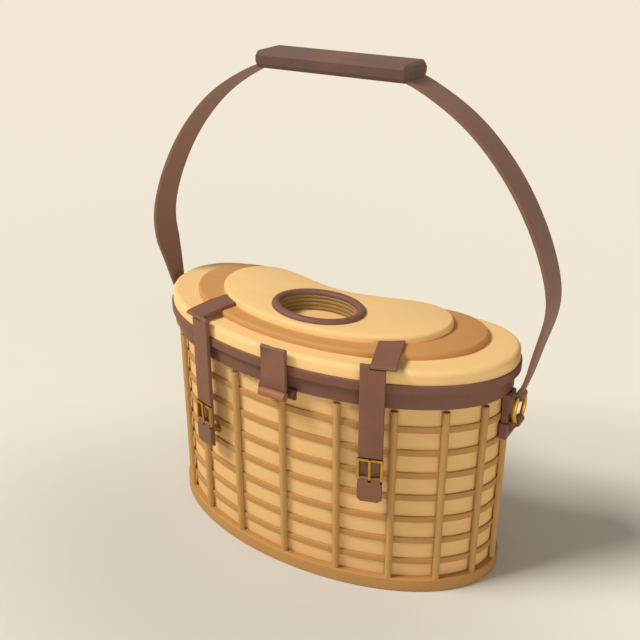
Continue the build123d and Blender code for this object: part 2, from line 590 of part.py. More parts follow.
def make_press_stud(side, place):
    """Domed stud on the wall and the shallow socket on the strap's back that presses onto it."""
    apex = STRAP_STANDOFF - SOCKET_FLOOR - STUD_GAP
    dome_centre = apex - STUD_DOME_RADIUS
    head_edge = dome_centre + (STUD_DOME_RADIUS**2 - STUD_HEAD_RADIUS**2) ** 0.5
    face = wall_plane(place, 0, STUD_HEIGHT)
    axis = Axis(face.origin, face.z_dir)
    with BuildPart() as press_stud:
        with BuildSketch(section_plane(place)):
            with BuildLine():
                Polyline((apex, STUD_HEIGHT), (WALL_OUTER, STUD_HEIGHT),
                         (WALL_OUTER, STUD_HEIGHT + STUD_FLANGE_RADIUS),
                         (WALL_OUTER + STUD_FLANGE_THICKNESS, STUD_HEIGHT + STUD_FLANGE_RADIUS),
                         (WALL_OUTER + STUD_FLANGE_THICKNESS, STUD_HEIGHT + STUD_POST_RADIUS),
                         (head_edge - STUD_HEAD_THICKNESS, STUD_HEIGHT + STUD_POST_RADIUS),
                         (head_edge - STUD_HEAD_THICKNESS, STUD_HEIGHT + STUD_HEAD_RADIUS),
                         (head_edge, STUD_HEIGHT + STUD_HEAD_RADIUS))
                RadiusArc((head_edge, STUD_HEIGHT + STUD_HEAD_RADIUS), (apex, STUD_HEIGHT),
                          STUD_DOME_RADIUS)
            make_face()
        revolve(axis=axis)
    save(f"{side}_press_stud", press_stud)

    with BuildPart() as stud_socket:
        thickness = SOCKET_FLOOR + SOCKET_CUP_DEPTH
        with BuildSketch(wall_plane(place, STRAP_STANDOFF, STUD_HEIGHT)):
            Circle(SOCKET_RADIUS)
        extrude(amount=-thickness)
        with Locations(wall_plane(place, dome_centre, STUD_HEIGHT)):
            Sphere(STUD_DOME_RADIUS + STUD_GAP, mode=Mode.SUBTRACT)
    save(f"{side}_stud_socket", stud_socket)


# ================================================================ centre latch
def make_latch():
    section = section_plane(FRONT)
    half = LATCH_WIDTH / 2
    knuckle = LATCH_KNUCKLE_WIDTH / 2
    with BuildPart() as latch_tab:
        with BuildSketch(wall_plane(FRONT, LATCH_STANDOFF)):
            with Locations((0, LATCH_BOTTOM)):
                Rectangle(LATCH_WIDTH, LATCH_PIN_HEIGHT - LATCH_BOTTOM, align=(Align.CENTER, Align.MIN))
        extrude(amount=STRAP_THICKNESS)
        chamfer(latch_tab.edges().filter_by(Axis.Z), STRAP_CHAMFER)
        add(rod(section, LATCH_FACE - LATCH_ROUNDING, LATCH_PIN_HEIGHT, LATCH_ROUNDING, half))
        add(rod(section, LATCH_PIN_OUT, LATCH_PIN_HEIGHT, LATCH_PIN_RADIUS + RUNNING_CLEARANCE, half),
            mode=Mode.SUBTRACT)
        with BuildSketch(wall_plane(FRONT, LATCH_STANDOFF)):
            with Locations((0, LATCH_PIN_HEIGHT - LATCH_KNUCKLE_RADIUS - SIDE_CLEARANCE)):
                Rectangle(2 * (knuckle + SIDE_CLEARANCE), LATCH_TOP - LATCH_BOTTOM,
                          align=(Align.CENTER, Align.MIN))
        extrude(amount=2 * LATCH_KNUCKLE_RADIUS + SIDE_CLEARANCE, mode=Mode.SUBTRACT)
    save("latch_tab", latch_tab)

    with BuildPart() as latch_anchor:
        plate = LOWER_TIER_OUTSET
        plate_face = plate + ANCHOR_PLATE_THICKNESS
        bend = LATCH_PIN_HEIGHT - LATCH_KNUCKLE_RADIUS
        with BuildSketch(section):
            with BuildLine():
                Polyline((plate, ANCHOR_BOTTOM), (plate_face, ANCHOR_BOTTOM),
                         (plate_face, bend), (LATCH_PIN_OUT, bend),
                         (LATCH_PIN_OUT, LATCH_PIN_HEIGHT + LATCH_KNUCKLE_RADIUS),
                         (plate, bend - LATCH_KNUCKLE_RADIUS), close=True)
            make_face()
            with Locations((LATCH_PIN_OUT, LATCH_PIN_HEIGHT)):
                Circle(LATCH_KNUCKLE_RADIUS)
                Circle(LATCH_PIN_RADIUS, mode=Mode.SUBTRACT)
        extrude(amount=knuckle, both=True)
        extrude(kidney(LID_BOTTOM, LOWER_TIER_OUTSET), amount=LOWER_TIER_TOP - LOWER_TIER_ROUNDING
                - LID_BOTTOM, mode=Mode.SUBTRACT)
    save("latch_anchor", latch_anchor)

    with BuildPart() as latch_pin:
        add(rod(section, LATCH_PIN_OUT, LATCH_PIN_HEIGHT, LATCH_PIN_RADIUS, half))
    save("latch_pin", latch_pin)

    flat_share = cos(radians(22.5))
    toggle_out = KEEPER_OUT + KEEPER_RADIUS * flat_share + KEEPER_GAP + TOGGLE_RADIUS * flat_share
    with BuildPart() as latch_toggle:
        with BuildSketch(section):
            with Locations((toggle_out, LATCH_BOTTOM - TOGGLE_RADIUS * flat_share)):
                RegularPolygon(TOGGLE_RADIUS, 8, rotation=22.5)
        extrude(amount=TOGGLE_LENGTH / 2, both=True)
    save("latch_toggle", latch_toggle)

    with BuildPart() as latch_keeper:
        with BuildSketch(section):
            with Locations((KEEPER_OUT, KEEPER_HEIGHT)):
                RegularPolygon(KEEPER_RADIUS, 8, rotation=22.5)
        extrude(amount=KEEPER_LENGTH / 2, both=True)
        extrude(kidney(RIM_BAND_BOTTOM), amount=RIM_BAND_HEIGHT, mode=Mode.SUBTRACT)
        extrude(kidney(STRAP_BOTTOM, STAKE_FACE + KEEPER_STAKE_GAP), amount=RIM_BAND_BOTTOM - STRAP_BOTTOM,
                mode=Mode.SUBTRACT)
    save("latch_keeper", latch_keeper)


# ================================================================ handle, rings and chapes
def make_ring_set(side, outward):
    """Brass ring, its leather patch over the end stake and the chape folded round the ring's foot."""
    ring_x = outward * RING_X
    back_x = outward * (HALF_LENGTH + STAKE_BACK)
    stake_face_x = outward * (HALF_LENGTH + STAKE_FACE)
    ring_plane = Plane(origin=(ring_x, 0, RING_HEIGHT), x_dir=(0, 1, 0), z_dir=(1, 0, 0))
    channel_half = STAKE_RADIUS + PATCH_STAKE_GAP
    with BuildPart() as handle_ring:
        with Locations(ring_plane):
            Torus(RING_RADIUS, RING_WIRE_RADIUS)
    save(f"{side}_handle_ring", handle_ring)

    def saddle(thickness, width, bottom, top):
        """Leather block from the wall out over the end stake, with a channel for the stake."""
        outer = abs(stake_face_x) + thickness
        with BuildPart() as block:
            with BuildSketch(Plane.YZ.offset(back_x)):
                with Locations((0, bottom)):
                    Rectangle(width, top - bottom, align=(Align.CENTER, Align.MIN))
            extrude(amount=outward * (outer - abs(back_x)))
            chamfer(block.faces().sort_by(Axis.X)[-1 if outward > 0 else 0].edges(), PATCH_THICKNESS / 2)
            with BuildSketch(Plane.XY.offset(bottom)):
                with BuildLine():
                    Polyline((back_x, -channel_half), (back_x, channel_half),
                             (back_x + outward * STAKE_ROOT, channel_half),
                             (stake_face_x, STAKE_RADIUS / 2), (stake_face_x, -STAKE_RADIUS / 2),
                             (back_x + outward * STAKE_ROOT, -channel_half), close=True)
                make_face()
                with Locations((back_x + outward * STAKE_ROOT, 0)):
                    Circle(channel_half)
            extrude(amount=top - bottom, mode=Mode.SUBTRACT)
        return block.part

    with BuildPart() as ring_patch:
        add(saddle(PATCH_THICKNESS, PATCH_WIDTH, PATCH_BOTTOM, RIM_BAND_BOTTOM))
    save(f"{side}_ring_patch", ring_patch)

    bore = RING_WIRE_RADIUS + RING_CLEARANCE
    loop_z = RING_HEIGHT - RING_RADIUS + LOOP_SHIFT
    with BuildPart() as ring_chape:
        add(saddle(CHAPE_FOOT_THICKNESS, CHAPE_FOOT_WIDTH, CHAPE_BOTTOM, PATCH_BOTTOM))
        foot_x = stake_face_x + outward * PATCH_THICKNESS
        with BuildSketch(Plane.XZ):
            with BuildLine():
                Polyline((foot_x, PATCH_BOTTOM - CHAPE_WIDTH), (ring_x + outward * (bore + LOOP_LEATHER), loop_z),
                         (ring_x, loop_z + bore), (foot_x, PATCH_BOTTOM), close=True)
            make_face()
            with Locations((ring_x, loop_z)):
                Circle(bore + LOOP_LEATHER)
        extrude(amount=CHAPE_WIDTH / 2, both=True)
        with Locations(ring_plane):
            Torus(RING_RADIUS, bore, mode=Mode.SUBTRACT)
    save(f"{side}_ring_chape", ring_chape)


def arch_side(inset):
    """Points of one side of the handle's arch, from the ring up, moved inwards by inset."""
    start_z = RING_HEIGHT + RING_RADIUS
    points = [(RING_X + HANDLE_FOOT_OUT, start_z + HANDLE_FOOT_RISE),
              (RING_X + HANDLE_LEG_LEAN, HANDLE_TAPER_START),
              ((RING_X + HANDLE_REACH) / 2 + HANDLE_LEG_BULGE, (start_z + HANDLE_WIDEST) / 2)]
    for step in range(HANDLE_ARCH_STEPS + 1):
        angle = HANDLE_SPRING_ANGLE * step / HANDLE_ARCH_STEPS
        points.append((HANDLE_REACH * cos(angle),
                       HANDLE_WIDEST + HANDLE_RISE * sin(angle) ** HANDLE_ROUNDNESS))
    moved = []
    for index, (x, z) in enumerate(points):
        before = points[max(index - 1, 0)]
        after = points[min(index + 1, len(points) - 1)]
        run_x, run_z = after[0] - before[0], after[1] - before[1]
        length = hypot(run_x, run_z)
        moved.append((x - inset * run_z / length, z + inset * run_x / length))
    return moved


def make_handle():
    half_thickness = HANDLE_THICKNESS / 2
    outer = arch_side(-half_thickness)
    inner = arch_side(half_thickness)
    bore = RING_WIRE_RADIUS + RING_CLEARANCE
    loop_z = RING_HEIGHT + RING_RADIUS - LOOP_SHIFT
    flat_end = (-1, 0)
    with BuildPart() as handle_strap:
        with BuildSketch(Plane.XZ):
            with BuildLine():
                outer_side = Spline(outer + [(HANDLE_FLAT, HANDLE_TOP + half_thickness)],
                                    tangents=[HANDLE_FOOT_SLOPE, flat_end])
                inner_side = Spline(inner + [(HANDLE_FLAT, HANDLE_TOP - half_thickness)],
                                    tangents=[HANDLE_FOOT_SLOPE, flat_end])
                Line(outer_side @ 0, inner_side @ 0)
                Line(outer_side @ 1, (0, HANDLE_TOP + half_thickness))
                Line((0, HANDLE_TOP + half_thickness), (0, HANDLE_TOP - half_thickness))
                Line((0, HANDLE_TOP - half_thickness), inner_side @ 1)
            make_face()
            mirror(about=Plane.YZ)
        extrude(amount=HANDLE_WIDTH / 2, both=True)
        above_top = HANDLE_TOP + HANDLE_WIDTH
        beyond_reach = HANDLE_REACH + HANDLE_WIDTH
        with BuildSketch(Plane.YZ.offset(-beyond_reach)):
            with BuildLine():
                Polyline((-HANDLE_LOOP_WIDTH / 2, RING_HEIGHT), (-HANDLE_LOOP_WIDTH / 2, HANDLE_TAPER_START),
                         (-HANDLE_WIDTH / 2, HANDLE_TAPER_END), (-HANDLE_WIDTH / 2, above_top),
                         (HANDLE_WIDTH / 2, above_top), (HANDLE_WIDTH / 2, HANDLE_TAPER_END),
                         (HANDLE_LOOP_WIDTH / 2, HANDLE_TAPER_START), (HANDLE_LOOP_WIDTH / 2, RING_HEIGHT),
                         close=True)
            make_face()
        extrude(amount=2 * beyond_reach, mode=Mode.INTERSECT)
        for outward in (-1, 1):
            with BuildSketch(Plane.XZ):
                with Locations((outward * RING_X, loop_z)):
                    Circle(bore + LOOP_LEATHER)
            extrude(amount=HANDLE_LOOP_WIDTH / 2, both=True)
            with Locations(Plane(origin=(outward * RING_X, 0, RING_HEIGHT), x_dir=(0, 1, 0),
                                 z_dir=(1, 0, 0))):
                Torus(RING_RADIUS, bore, mode=Mode.SUBTRACT)
    save("handle_strap", handle_strap)

    with BuildPart() as handle_grip:
        with BuildSketch(Plane.XY.offset(HANDLE_TOP + half_thickness)):
            Rectangle(GRIP_LENGTH, GRIP_WIDTH)
        extrude(amount=GRIP_THICKNESS)
        chamfer(handle_grip.edges(), GRIP_CHAMFER)
    save("handle_grip", handle_grip)


# ================================================================ lid hinges
def make_hinge(side, outward):
    """Butt hinge on a back lobe: body leaf, lid leaf and pin."""
    centre = outward * HINGE_PLACE
    back_y = max(plan_point(radians(step), 1, 1, 0)[1] for step in range(90))
    axis_y = back_y + LIP_OUTSET + HINGE_AXIS_CLEARANCE + HINGE_KNUCKLE_RADIUS
    axis_z = RIM_TOP + LID_GAP / 2
    leaf_half = HINGE_LEAF_WIDTH / 2
    middle = HINGE_MIDDLE_KNUCKLE / 2
    outer_start = middle + SIDE_CLEARANCE
    plate_low = axis_z + HINGE_KNUCKLE_RADIUS + 2 * SIDE_CLEARANCE

    def leaf(bottom, top, grow):
        """Curved plate that follows the back of the basket."""
        with BuildPart() as plate:
            extrude(kidney(bottom, grow + HINGE_LEAF_THICKNESS, grow), amount=top - bottom)
            with BuildSketch(Plane.XY.offset(bottom)):
                with Locations((centre, axis_y)):
                    Rectangle(HINGE_LEAF_WIDTH, axis_y)
            extrude(amount=top - bottom, mode=Mode.INTERSECT)
        return plate.part

    with BuildPart() as body_leaf:
        leaf_top = RIM_TOP - HINGE_LEAF_THICKNESS
        add(leaf(HINGE_BODY_LEAF_BOTTOM, leaf_top, 0))
        root = back_y + HINGE_LEAF_THICKNESS / 2
        for direction in (-1, 1):
            with BuildSketch(Plane.YZ.offset(centre + direction * outer_start)):
                with BuildLine():
                    Polyline((root, leaf_top - HINGE_KNUCKLE_RADIUS * 3),
                             (axis_y + HINGE_KNUCKLE_RADIUS, axis_z), (axis_y, axis_z),
                             (axis_y - HINGE_KNUCKLE_RADIUS, RIM_TOP - LID_GAP),
                             (root, leaf_top - LID_GAP), close=True)
                make_face()
                with Locations((axis_y, axis_z)):
                    Circle(HINGE_KNUCKLE_RADIUS)
                    Circle(HINGE_PIN_RADIUS, mode=Mode.SUBTRACT)
            extrude(amount=direction * (leaf_half - outer_start))
    save(f"{side}_hinge_body_leaf", body_leaf)

    with BuildPart() as lid_leaf:
        add(leaf(plate_low, LOWER_TIER_BOTTOM, LIP_OUTSET))
        root = back_y + LIP_OUTSET + HINGE_LEAF_THICKNESS / 2
        with BuildSketch(Plane.YZ.offset(centre)):
            with BuildLine():
                Polyline((root, plate_low), (root, LOWER_TIER_BOTTOM),
                         (root + HINGE_LEAF_THICKNESS / 2, LOWER_TIER_BOTTOM),
                         (axis_y + HINGE_KNUCKLE_RADIUS, axis_z), (axis_y, axis_z),
                         (axis_y - HINGE_KNUCKLE_RADIUS, axis_z), close=True)
            make_face()
            with Locations((axis_y, axis_z)):
                Circle(HINGE_KNUCKLE_RADIUS)
                Circle(HINGE_PIN_RADIUS + RUNNING_CLEARANCE, mode=Mode.SUBTRACT)
        extrude(amount=middle, both=True)
    save(f"{side}_hinge_lid_leaf", lid_leaf)

    with BuildPart() as hinge_pin:
        with BuildSketch(Plane.YZ.offset(centre)):
            with Locations((axis_y, axis_z)):
                Circle(HINGE_PIN_RADIUS)
        extrude(amount=leaf_half, both=True)
    save(f"{side}_hinge_pin", hinge_pin)


make_basket()
make_lid()
make_fish_hole()
make_latch()
for side, outward in (("left", -1), ("right", 1)):
    make_top_strap(side, outward)
    make_closing_strap(side, outward)
    make_ring_set(side, outward)
    make_hinge(side, outward)
make_handle()
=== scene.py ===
"""Wicker fishing creel: cane wall and lid, leather straps and brass fittings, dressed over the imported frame."""

import json
import math

import bmesh
import bpy
from bpy.props import FloatProperty, FloatVectorProperty, IntProperty, PointerProperty
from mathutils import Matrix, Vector


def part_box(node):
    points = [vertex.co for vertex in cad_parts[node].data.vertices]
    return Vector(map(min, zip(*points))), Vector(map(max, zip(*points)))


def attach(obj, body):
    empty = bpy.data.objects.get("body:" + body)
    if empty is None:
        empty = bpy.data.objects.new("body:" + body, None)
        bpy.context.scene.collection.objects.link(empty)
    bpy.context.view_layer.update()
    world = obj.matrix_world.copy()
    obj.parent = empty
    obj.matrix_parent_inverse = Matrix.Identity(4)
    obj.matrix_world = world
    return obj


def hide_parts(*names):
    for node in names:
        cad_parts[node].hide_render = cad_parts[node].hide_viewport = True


bl_info = {
    "name": "Fishing Creel",
    "version": (1, 0, 0),
    "blender": (4, 5, 0),
    "location": "View3D > Sidebar > Creel",
    "description": "Builds the cane, leather and brass of a fishing creel over its frame",
    "category": "Add Mesh",
}

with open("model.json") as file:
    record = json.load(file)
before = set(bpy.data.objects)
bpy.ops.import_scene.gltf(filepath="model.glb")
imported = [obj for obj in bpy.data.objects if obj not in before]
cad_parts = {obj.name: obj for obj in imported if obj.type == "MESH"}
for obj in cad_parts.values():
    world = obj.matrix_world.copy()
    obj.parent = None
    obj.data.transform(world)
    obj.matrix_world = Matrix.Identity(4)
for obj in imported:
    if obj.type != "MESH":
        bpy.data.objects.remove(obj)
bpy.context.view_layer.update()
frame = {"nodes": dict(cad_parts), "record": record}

MM = 0.001
RING_STEPS = 240          # points round a kidney-shaped piece
OVAL_STEPS = 96           # points round the fish hole
CURVE_STEPS = 5           # points on a rounded edge


# ---------------------------------------------------------------- sizes and colours a user would change
def colour_property(name, value):
    return FloatVectorProperty(name=name, description=f"{name} of the creel", subtype="COLOR", size=3,
                               min=0.0, max=1.0, default=value)


def length_property(name, description, value):
    return FloatProperty(name=name, description=description, default=value, unit="LENGTH", min=0.0)


def srgb(red, green, blue):
    """Linear colour of an 8-bit sRGB one."""
    def linear(value):
        share = value / 255
        return share / 12.92 if share <= 0.04045 else ((share + 0.055) / 1.055) ** 2.4
    return (linear(red), linear(green), linear(blue))


class CreelPlan(bpy.types.PropertyGroup):
    half_length: length_property("Half length", "Middle to one end, at the rim band", 0.175)
    front_depth: length_property("Front depth", "Middle line to the front", 0.0975)
    lobe_depth: length_property("Lobe depth", "Reach of the back lobes before the dent", 0.112)
    dent_depth: length_property("Dent depth", "Depth of the dent in the back", 0.087)
    dent_spread: length_property("Dent spread", "How far along the length the dent reaches", 0.157)


class CreelCane(bpy.types.PropertyGroup):
    weavers: IntProperty(name="Weavers", description="Bands round the wall", default=7, min=1)
    stakes: IntProperty(name="Stakes", description="Upright canes round the wall", default=20, min=3)
    stake_radius: length_property("Stake radius", "Radius of an upright cane", 0.0032)
    band_rounding: length_property("Band rounding", "Rounding of a weaver's edges", 0.0007)
    row_height: length_property("Row height", "Height of one fine woven row", 0.0029)
    wall_colour: colour_property("Wall colour", srgb(232, 187, 122))
    lid_colour: colour_property("Lid colour", srgb(250, 205, 136))
    band_colour: colour_property("Band colour", srgb(187, 137, 74))
    ochre_colour: colour_property("Middle tier colour", srgb(204, 148, 83))
    # painted shade: the lid cane darkened for the throat of the fish hole
    throat_shade_colour: colour_property("Fish hole shade colour", srgb(166, 130, 78))
    stake_colour: colour_property("Stake colour", srgb(190, 145, 83))
    # painted shade on the stakes' cut ends, under the rim band
    end_shade_colour: colour_property("Stake end shade colour", srgb(140, 105, 55))
    base_colour: colour_property("Base rim colour", srgb(184, 135, 75))


class CreelLeather(bpy.types.PropertyGroup):
    edge_rounding: length_property("Edge rounding", "Rounding of a strap's edges", 0.0006)
    pebble_size: length_property("Pebble size", "Size of the leather's grain", 0.0011)
    strap_colour: colour_property("Strap colour", srgb(123, 80, 59))
    binding_colour: colour_property("Binding colour", srgb(116, 74, 56))
    handle_colour: colour_property("Handle colour", srgb(124, 87, 70))
    grip_colour: colour_property("Grip colour", srgb(93, 65, 54))
    handle_draw: length_property("Handle draw", "How far the sides of the handle are drawn in", 0.003)
    grip_spare: length_property("Grip spare", "How far the grip's wrap stands proud of its core", 0.003)
    # painted reflection: the redder, lighter colour laid on the top of the grip
    painted_highlight_colour: colour_property("Painted grip highlight colour", srgb(128, 74, 56))
    worn_colour: colour_property("Worn edge colour", srgb(131, 87, 66))


class CreelFittings(bpy.types.PropertyGroup):
    brass_colour: colour_property("Brass colour", srgb(200, 156, 64))
    bright_brass_colour: colour_property("Rubbed brass colour", srgb(222, 180, 92))
    dull_brass_colour: colour_property("Dull brass colour", srgb(172, 130, 72))
    toggle_colour: colour_property("Toggle colour", srgb(158, 104, 72))
    keeper_colour: colour_property("Keeper colour", srgb(99, 63, 45))
    edge_rounding: length_property("Edge rounding", "Rounding of a brass edge", 0.0003)


class CreelStage(bpy.types.PropertyGroup):
    backdrop_colour: colour_property("Backdrop colour", srgb(242, 232, 213))
    # painted shade: the floor's colour close to the creel
    shaded_floor_colour: colour_property("Floor shade colour", srgb(213, 209, 197))
    far_floor_colour: colour_property("Far floor colour", srgb(249, 240, 221))
    key_strength: FloatProperty(name="Key strength", description="Main lamp", default=2.8, min=0.0)
    side_strength: FloatProperty(name="Side strength", description="Low lamp on the right", default=0.95,
                                 min=0.0)
    room_strength: FloatProperty(name="Room strength", description="Light of the room", default=0.18, min=0.0)


def plan():
    return bpy.context.scene.creel_plan


def cane():
    return bpy.context.scene.creel_cane


def leather():
    return bpy.context.scene.creel_leather


def fittings():
    return bpy.context.scene.creel_fittings


def stage_settings():
    return bpy.context.scene.creel_stage


# ---------------------------------------------------------------- plan of the creel
def plan_point(angle, shares=(1.0, 1.0), shift=0.0):
    """Point of the kidney plan at an angle counted round from the right-hand end."""
    sizes = plan()
    x = sizes.half_length * math.cos(angle)
    if math.sin(angle) < 0:
        y = sizes.front_depth * math.sin(angle)
    else:
        dent = sizes.dent_depth * math.exp(-((x / sizes.dent_spread) ** 2))
        y = (sizes.lobe_depth - dent) * math.sin(angle)
    return Vector((x * shares[0], y * shares[1] + shift, 0))


def outline_place(angle, shares=(1.0, 1.0), shift=0.0):
    """Point of the plan and its outward normal."""
    small = 1e-3
    before = plan_point(angle - small, shares, shift)
    after = plan_point(angle + small, shares, shift)
    along = (after - before).normalized()
    return plan_point(angle, shares, shift), Vector((along.y, -along.x, 0))


def kidney_loop(grow, height, shares=(1.0, 1.0), shift=0.0, steps=RING_STEPS):
    """Points round the plan, moved outwards by grow, at a height."""
    loop = []
    for step in range(steps):
        point, normal = outline_place(2 * math.pi * step / steps, shares, shift)
        loop.append(point + normal * grow + Vector((0, 0, height)))
    return loop


def oval_loop(centre, half_length, half_depth, height, steps):
    loop = []
    for step in range(steps):
        angle = 2 * math.pi * step / steps
        loop.append(Vector((centre.x + half_length * math.cos(angle),
                            centre.y + half_depth * math.sin(angle), height)))
    return loop


def rounded_corner(corner, start, end, radius, steps=CURVE_STEPS):
    """Points of a rounding in a profile, from the side towards start to the side towards end."""
    corner, start, end = Vector(corner), Vector(start), Vector(end)
    to_start = (start - corner).normalized()
    to_end = (end - corner).normalized()
    points = []
    for step in range(steps + 1):
        angle = math.pi / 2 * step / steps
        points.append(tuple(corner + to_start * radius * (1 - math.sin(angle))
                            + to_end * radius * (1 - math.cos(angle))))
    return points


def rounded_profile(outer, inner, low, high, radius, inner_radius=None):
    """Closed profile of a band: outer side first, then over the top and down the inner side."""
    inner_radius = radius if inner_radius is None else inner_radius
    points = rounded_corner((outer, low), (inner, low), (outer, high), radius)
    points += rounded_corner((outer, high), (outer, low), (inner, high), radius)
    points += rounded_corner((inner, high), (outer, high), (inner, low), inner_radius)
    points += rounded_corner((inner, low), (inner, high), (outer, low), inner_radius)
    return points


# ---------------------------------------------------------------- mesh helpers
def mesh_object(name, bm, smooth_angle=35.0):
    mesh = bpy.data.meshes.new(name)
    for face in bm.faces:
        face.smooth = True
    bm.to_mesh(mesh)
    bm.free()
    mesh.set_sharp_from_angle(angle=math.radians(smooth_angle))
    obj = bpy.data.objects.new(name, mesh)
    bpy.context.scene.collection.objects.link(obj)
    return obj


def skin_loops(name, loops, closed=True, smooth_angle=35.0):
    """Mesh through loops of equal count. A closed one joins its last loop to its first; an open one is capped.
    Its UV map holds metres: round the piece in U and along the profile in V."""
    bm = bmesh.new()
    uv = bm.loops.layers.uv.new("UVMap")
    rows = [[bm.verts.new(point) for point in loop] for loop in loops]
    count = len(rows[0])
    around = [0.0]
    for index in range(count):
        around.append(around[-1] + (loops[0][(index + 1) % count] - loops[0][index]).length)
    along = [0.0]
    pairs = list(zip(range(len(rows)), list(range(1, len(rows))) + [0]))
    if not closed:
        pairs = pairs[:-1]
    for low, high in pairs:
        along.append(along[-1] + (loops[high][0] - loops[low][0]).length)
        for index in range(count):
            after = (index + 1) % count
            face = bm.faces.new((rows[low][index], rows[low][after], rows[high][after], rows[high][index]))
            corners = ((around[index], along[-2]), (around[index + 1], along[-2]),
                       (around[index + 1], along[-1]), (around[index], along[-1]))
            for loop, corner in zip(face.loops, corners):
                loop[uv].uv = corner
    if not closed:
        bm.faces.new(list(reversed(rows[0])))
        bm.faces.new(rows[-1])
    bmesh.ops.recalc_face_normals(bm, faces=bm.faces)
    return mesh_object(name, bm, smooth_angle)


def kidney_band(name, profile, shares=(1.0, 1.0), shift=0.0):
    """Closed band round the plan. The profile's points are outward distance and height."""
    return skin_loops(name, [kidney_loop(out, height, shares, shift) for out, height in profile])


def node_solid(name):
    """Merged copy of a frame node's mesh, with flat faces joined up."""
    bm = bmesh.new()
    bm.from_mesh(frame["nodes"][name].data)
    bmesh.ops.remove_doubles(bm, verts=bm.verts, dist=2e-6)
    bmesh.ops.dissolve_limit(bm, angle_limit=math.radians(0.5), verts=bm.verts, edges=bm.edges)
    return bm


def soft_edged(name, node, rounding, material, edge_material, segments=2, angle=28.0):
    """Copy of a frame node with its sharp edges rounded and painted as worn."""
    piece = mesh_object(name, node_solid(node), angle)
    piece.data.materials.append(material)
    piece.data.materials.append(edge_material)
    bevel = piece.modifiers.new("Rounded edges", "BEVEL")
    bevel.width = rounding
    bevel.segments = segments
    bevel.limit_method = "ANGLE"
    bevel.angle_limit = math.radians(angle)
    bevel.material = 1
    bevel.harden_normals = True
    bevel.miter_outer = "MITER_ARC"
    return piece


def seat(piece, body, slot_name, *nodes):
    """Puts a finished piece on its body, in place of the frame nodes that it stands for."""
    if nodes:
        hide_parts(*nodes)
    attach(piece, body)


def dress(node, material):
    """Gives a frame node its finish."""
    obj = frame["nodes"][node]
    obj.data.materials.clear()
    obj.data.materials.append(material)


def body_of_node(node):
    for body, nodes in frame["record"]["behaviour"]["bodies"].items():
        if node in nodes:
            return body
    raise ValueError(f"{node} is on no body")


def slot_of_node(node):
    for row in frame["record"]["subparts"]:
        if row["node"] == node:
            return row["material_slot"]
    raise ValueError(f"{node} has no material slot")


# ---------------------------------------------------------------- shader node groups
class Tree:
    """Short way to add and join shader nodes."""

    def __init__(self, tree):
        self.tree = tree
        self.across = 0

    def node(self, kind, **settings):
        made = self.tree.nodes.new(kind)
        made.location = (self.across, 0)
        self.across += 190
        for key, value in settings.items():
            setattr(made, key, value)
        return made

    def join(self, source, target):
        self.tree.links.new(source, target)

    def feed(self, target, value):
        """A socket is joined and a plain value is written."""
        if isinstance(value, bpy.types.NodeSocket):
            self.join(value, target)
        else:
            target.default_value = value

    def maths(self, operation, first, second=0.0):
        made = self.node("ShaderNodeMath", operation=operation)
        self.feed(made.inputs[0], first)
        self.feed(made.inputs[1], second)
        return made.outputs[0]

    def vector(self, operation, first, second):
        made = self.node("ShaderNodeVectorMath", operation=operation)
        self.feed(made.inputs[0], first)
        self.feed(made.inputs[1], second)
        return made.outputs[0]

    def mix(self, share, first, second, blend="MIX"):
        made = self.node("ShaderNodeMix", data_type="RGBA", blend_type=blend)
        self.feed(made.inputs[0], share)
        self.feed(made.inputs[6], first)
        self.feed(made.inputs[7], second)
        return made.outputs[2]

    def spread(self, value, low, high, to_low=0.0, to_high=1.0):
        made = self.node("ShaderNodeMapRange", interpolation_type="SMOOTHSTEP")
        for socket, number in zip(made.inputs[:5], (value, low, high, to_low, to_high)):
            self.feed(socket, number)
        return made.outputs[0]

    def noise(self, vector, scale, detail=3.0, roughness=0.5):
        made = self.node("ShaderNodeTexNoise")
        self.feed(made.inputs["Vector"], vector)
        self.feed(made.inputs["Scale"], scale)
        self.feed(made.inputs["Detail"], detail)
        self.feed(made.inputs["Roughness"], roughness)
        return made.outputs["Fac"]


def new_group(name, inputs, outputs):
    """Empty node group with named sockets, and its input and output nodes."""
    group = bpy.data.node_groups.new(name, "ShaderNodeTree")
    kinds = {"colour": "NodeSocketColor", "value": "NodeSocketFloat", "vector": "NodeSocketVector"}
    for label, kind, default in inputs:
        socket = group.interface.new_socket(label, in_out="INPUT", socket_type=kinds[kind])
        socket.default_value = default
    for label, kind in outputs:
        group.interface.new_socket(label, in_out="OUTPUT", socket_type=kinds[kind])
    tree = Tree(group)
    return group, tree, tree.node("NodeGroupInput"), tree.node("NodeGroupOutput")


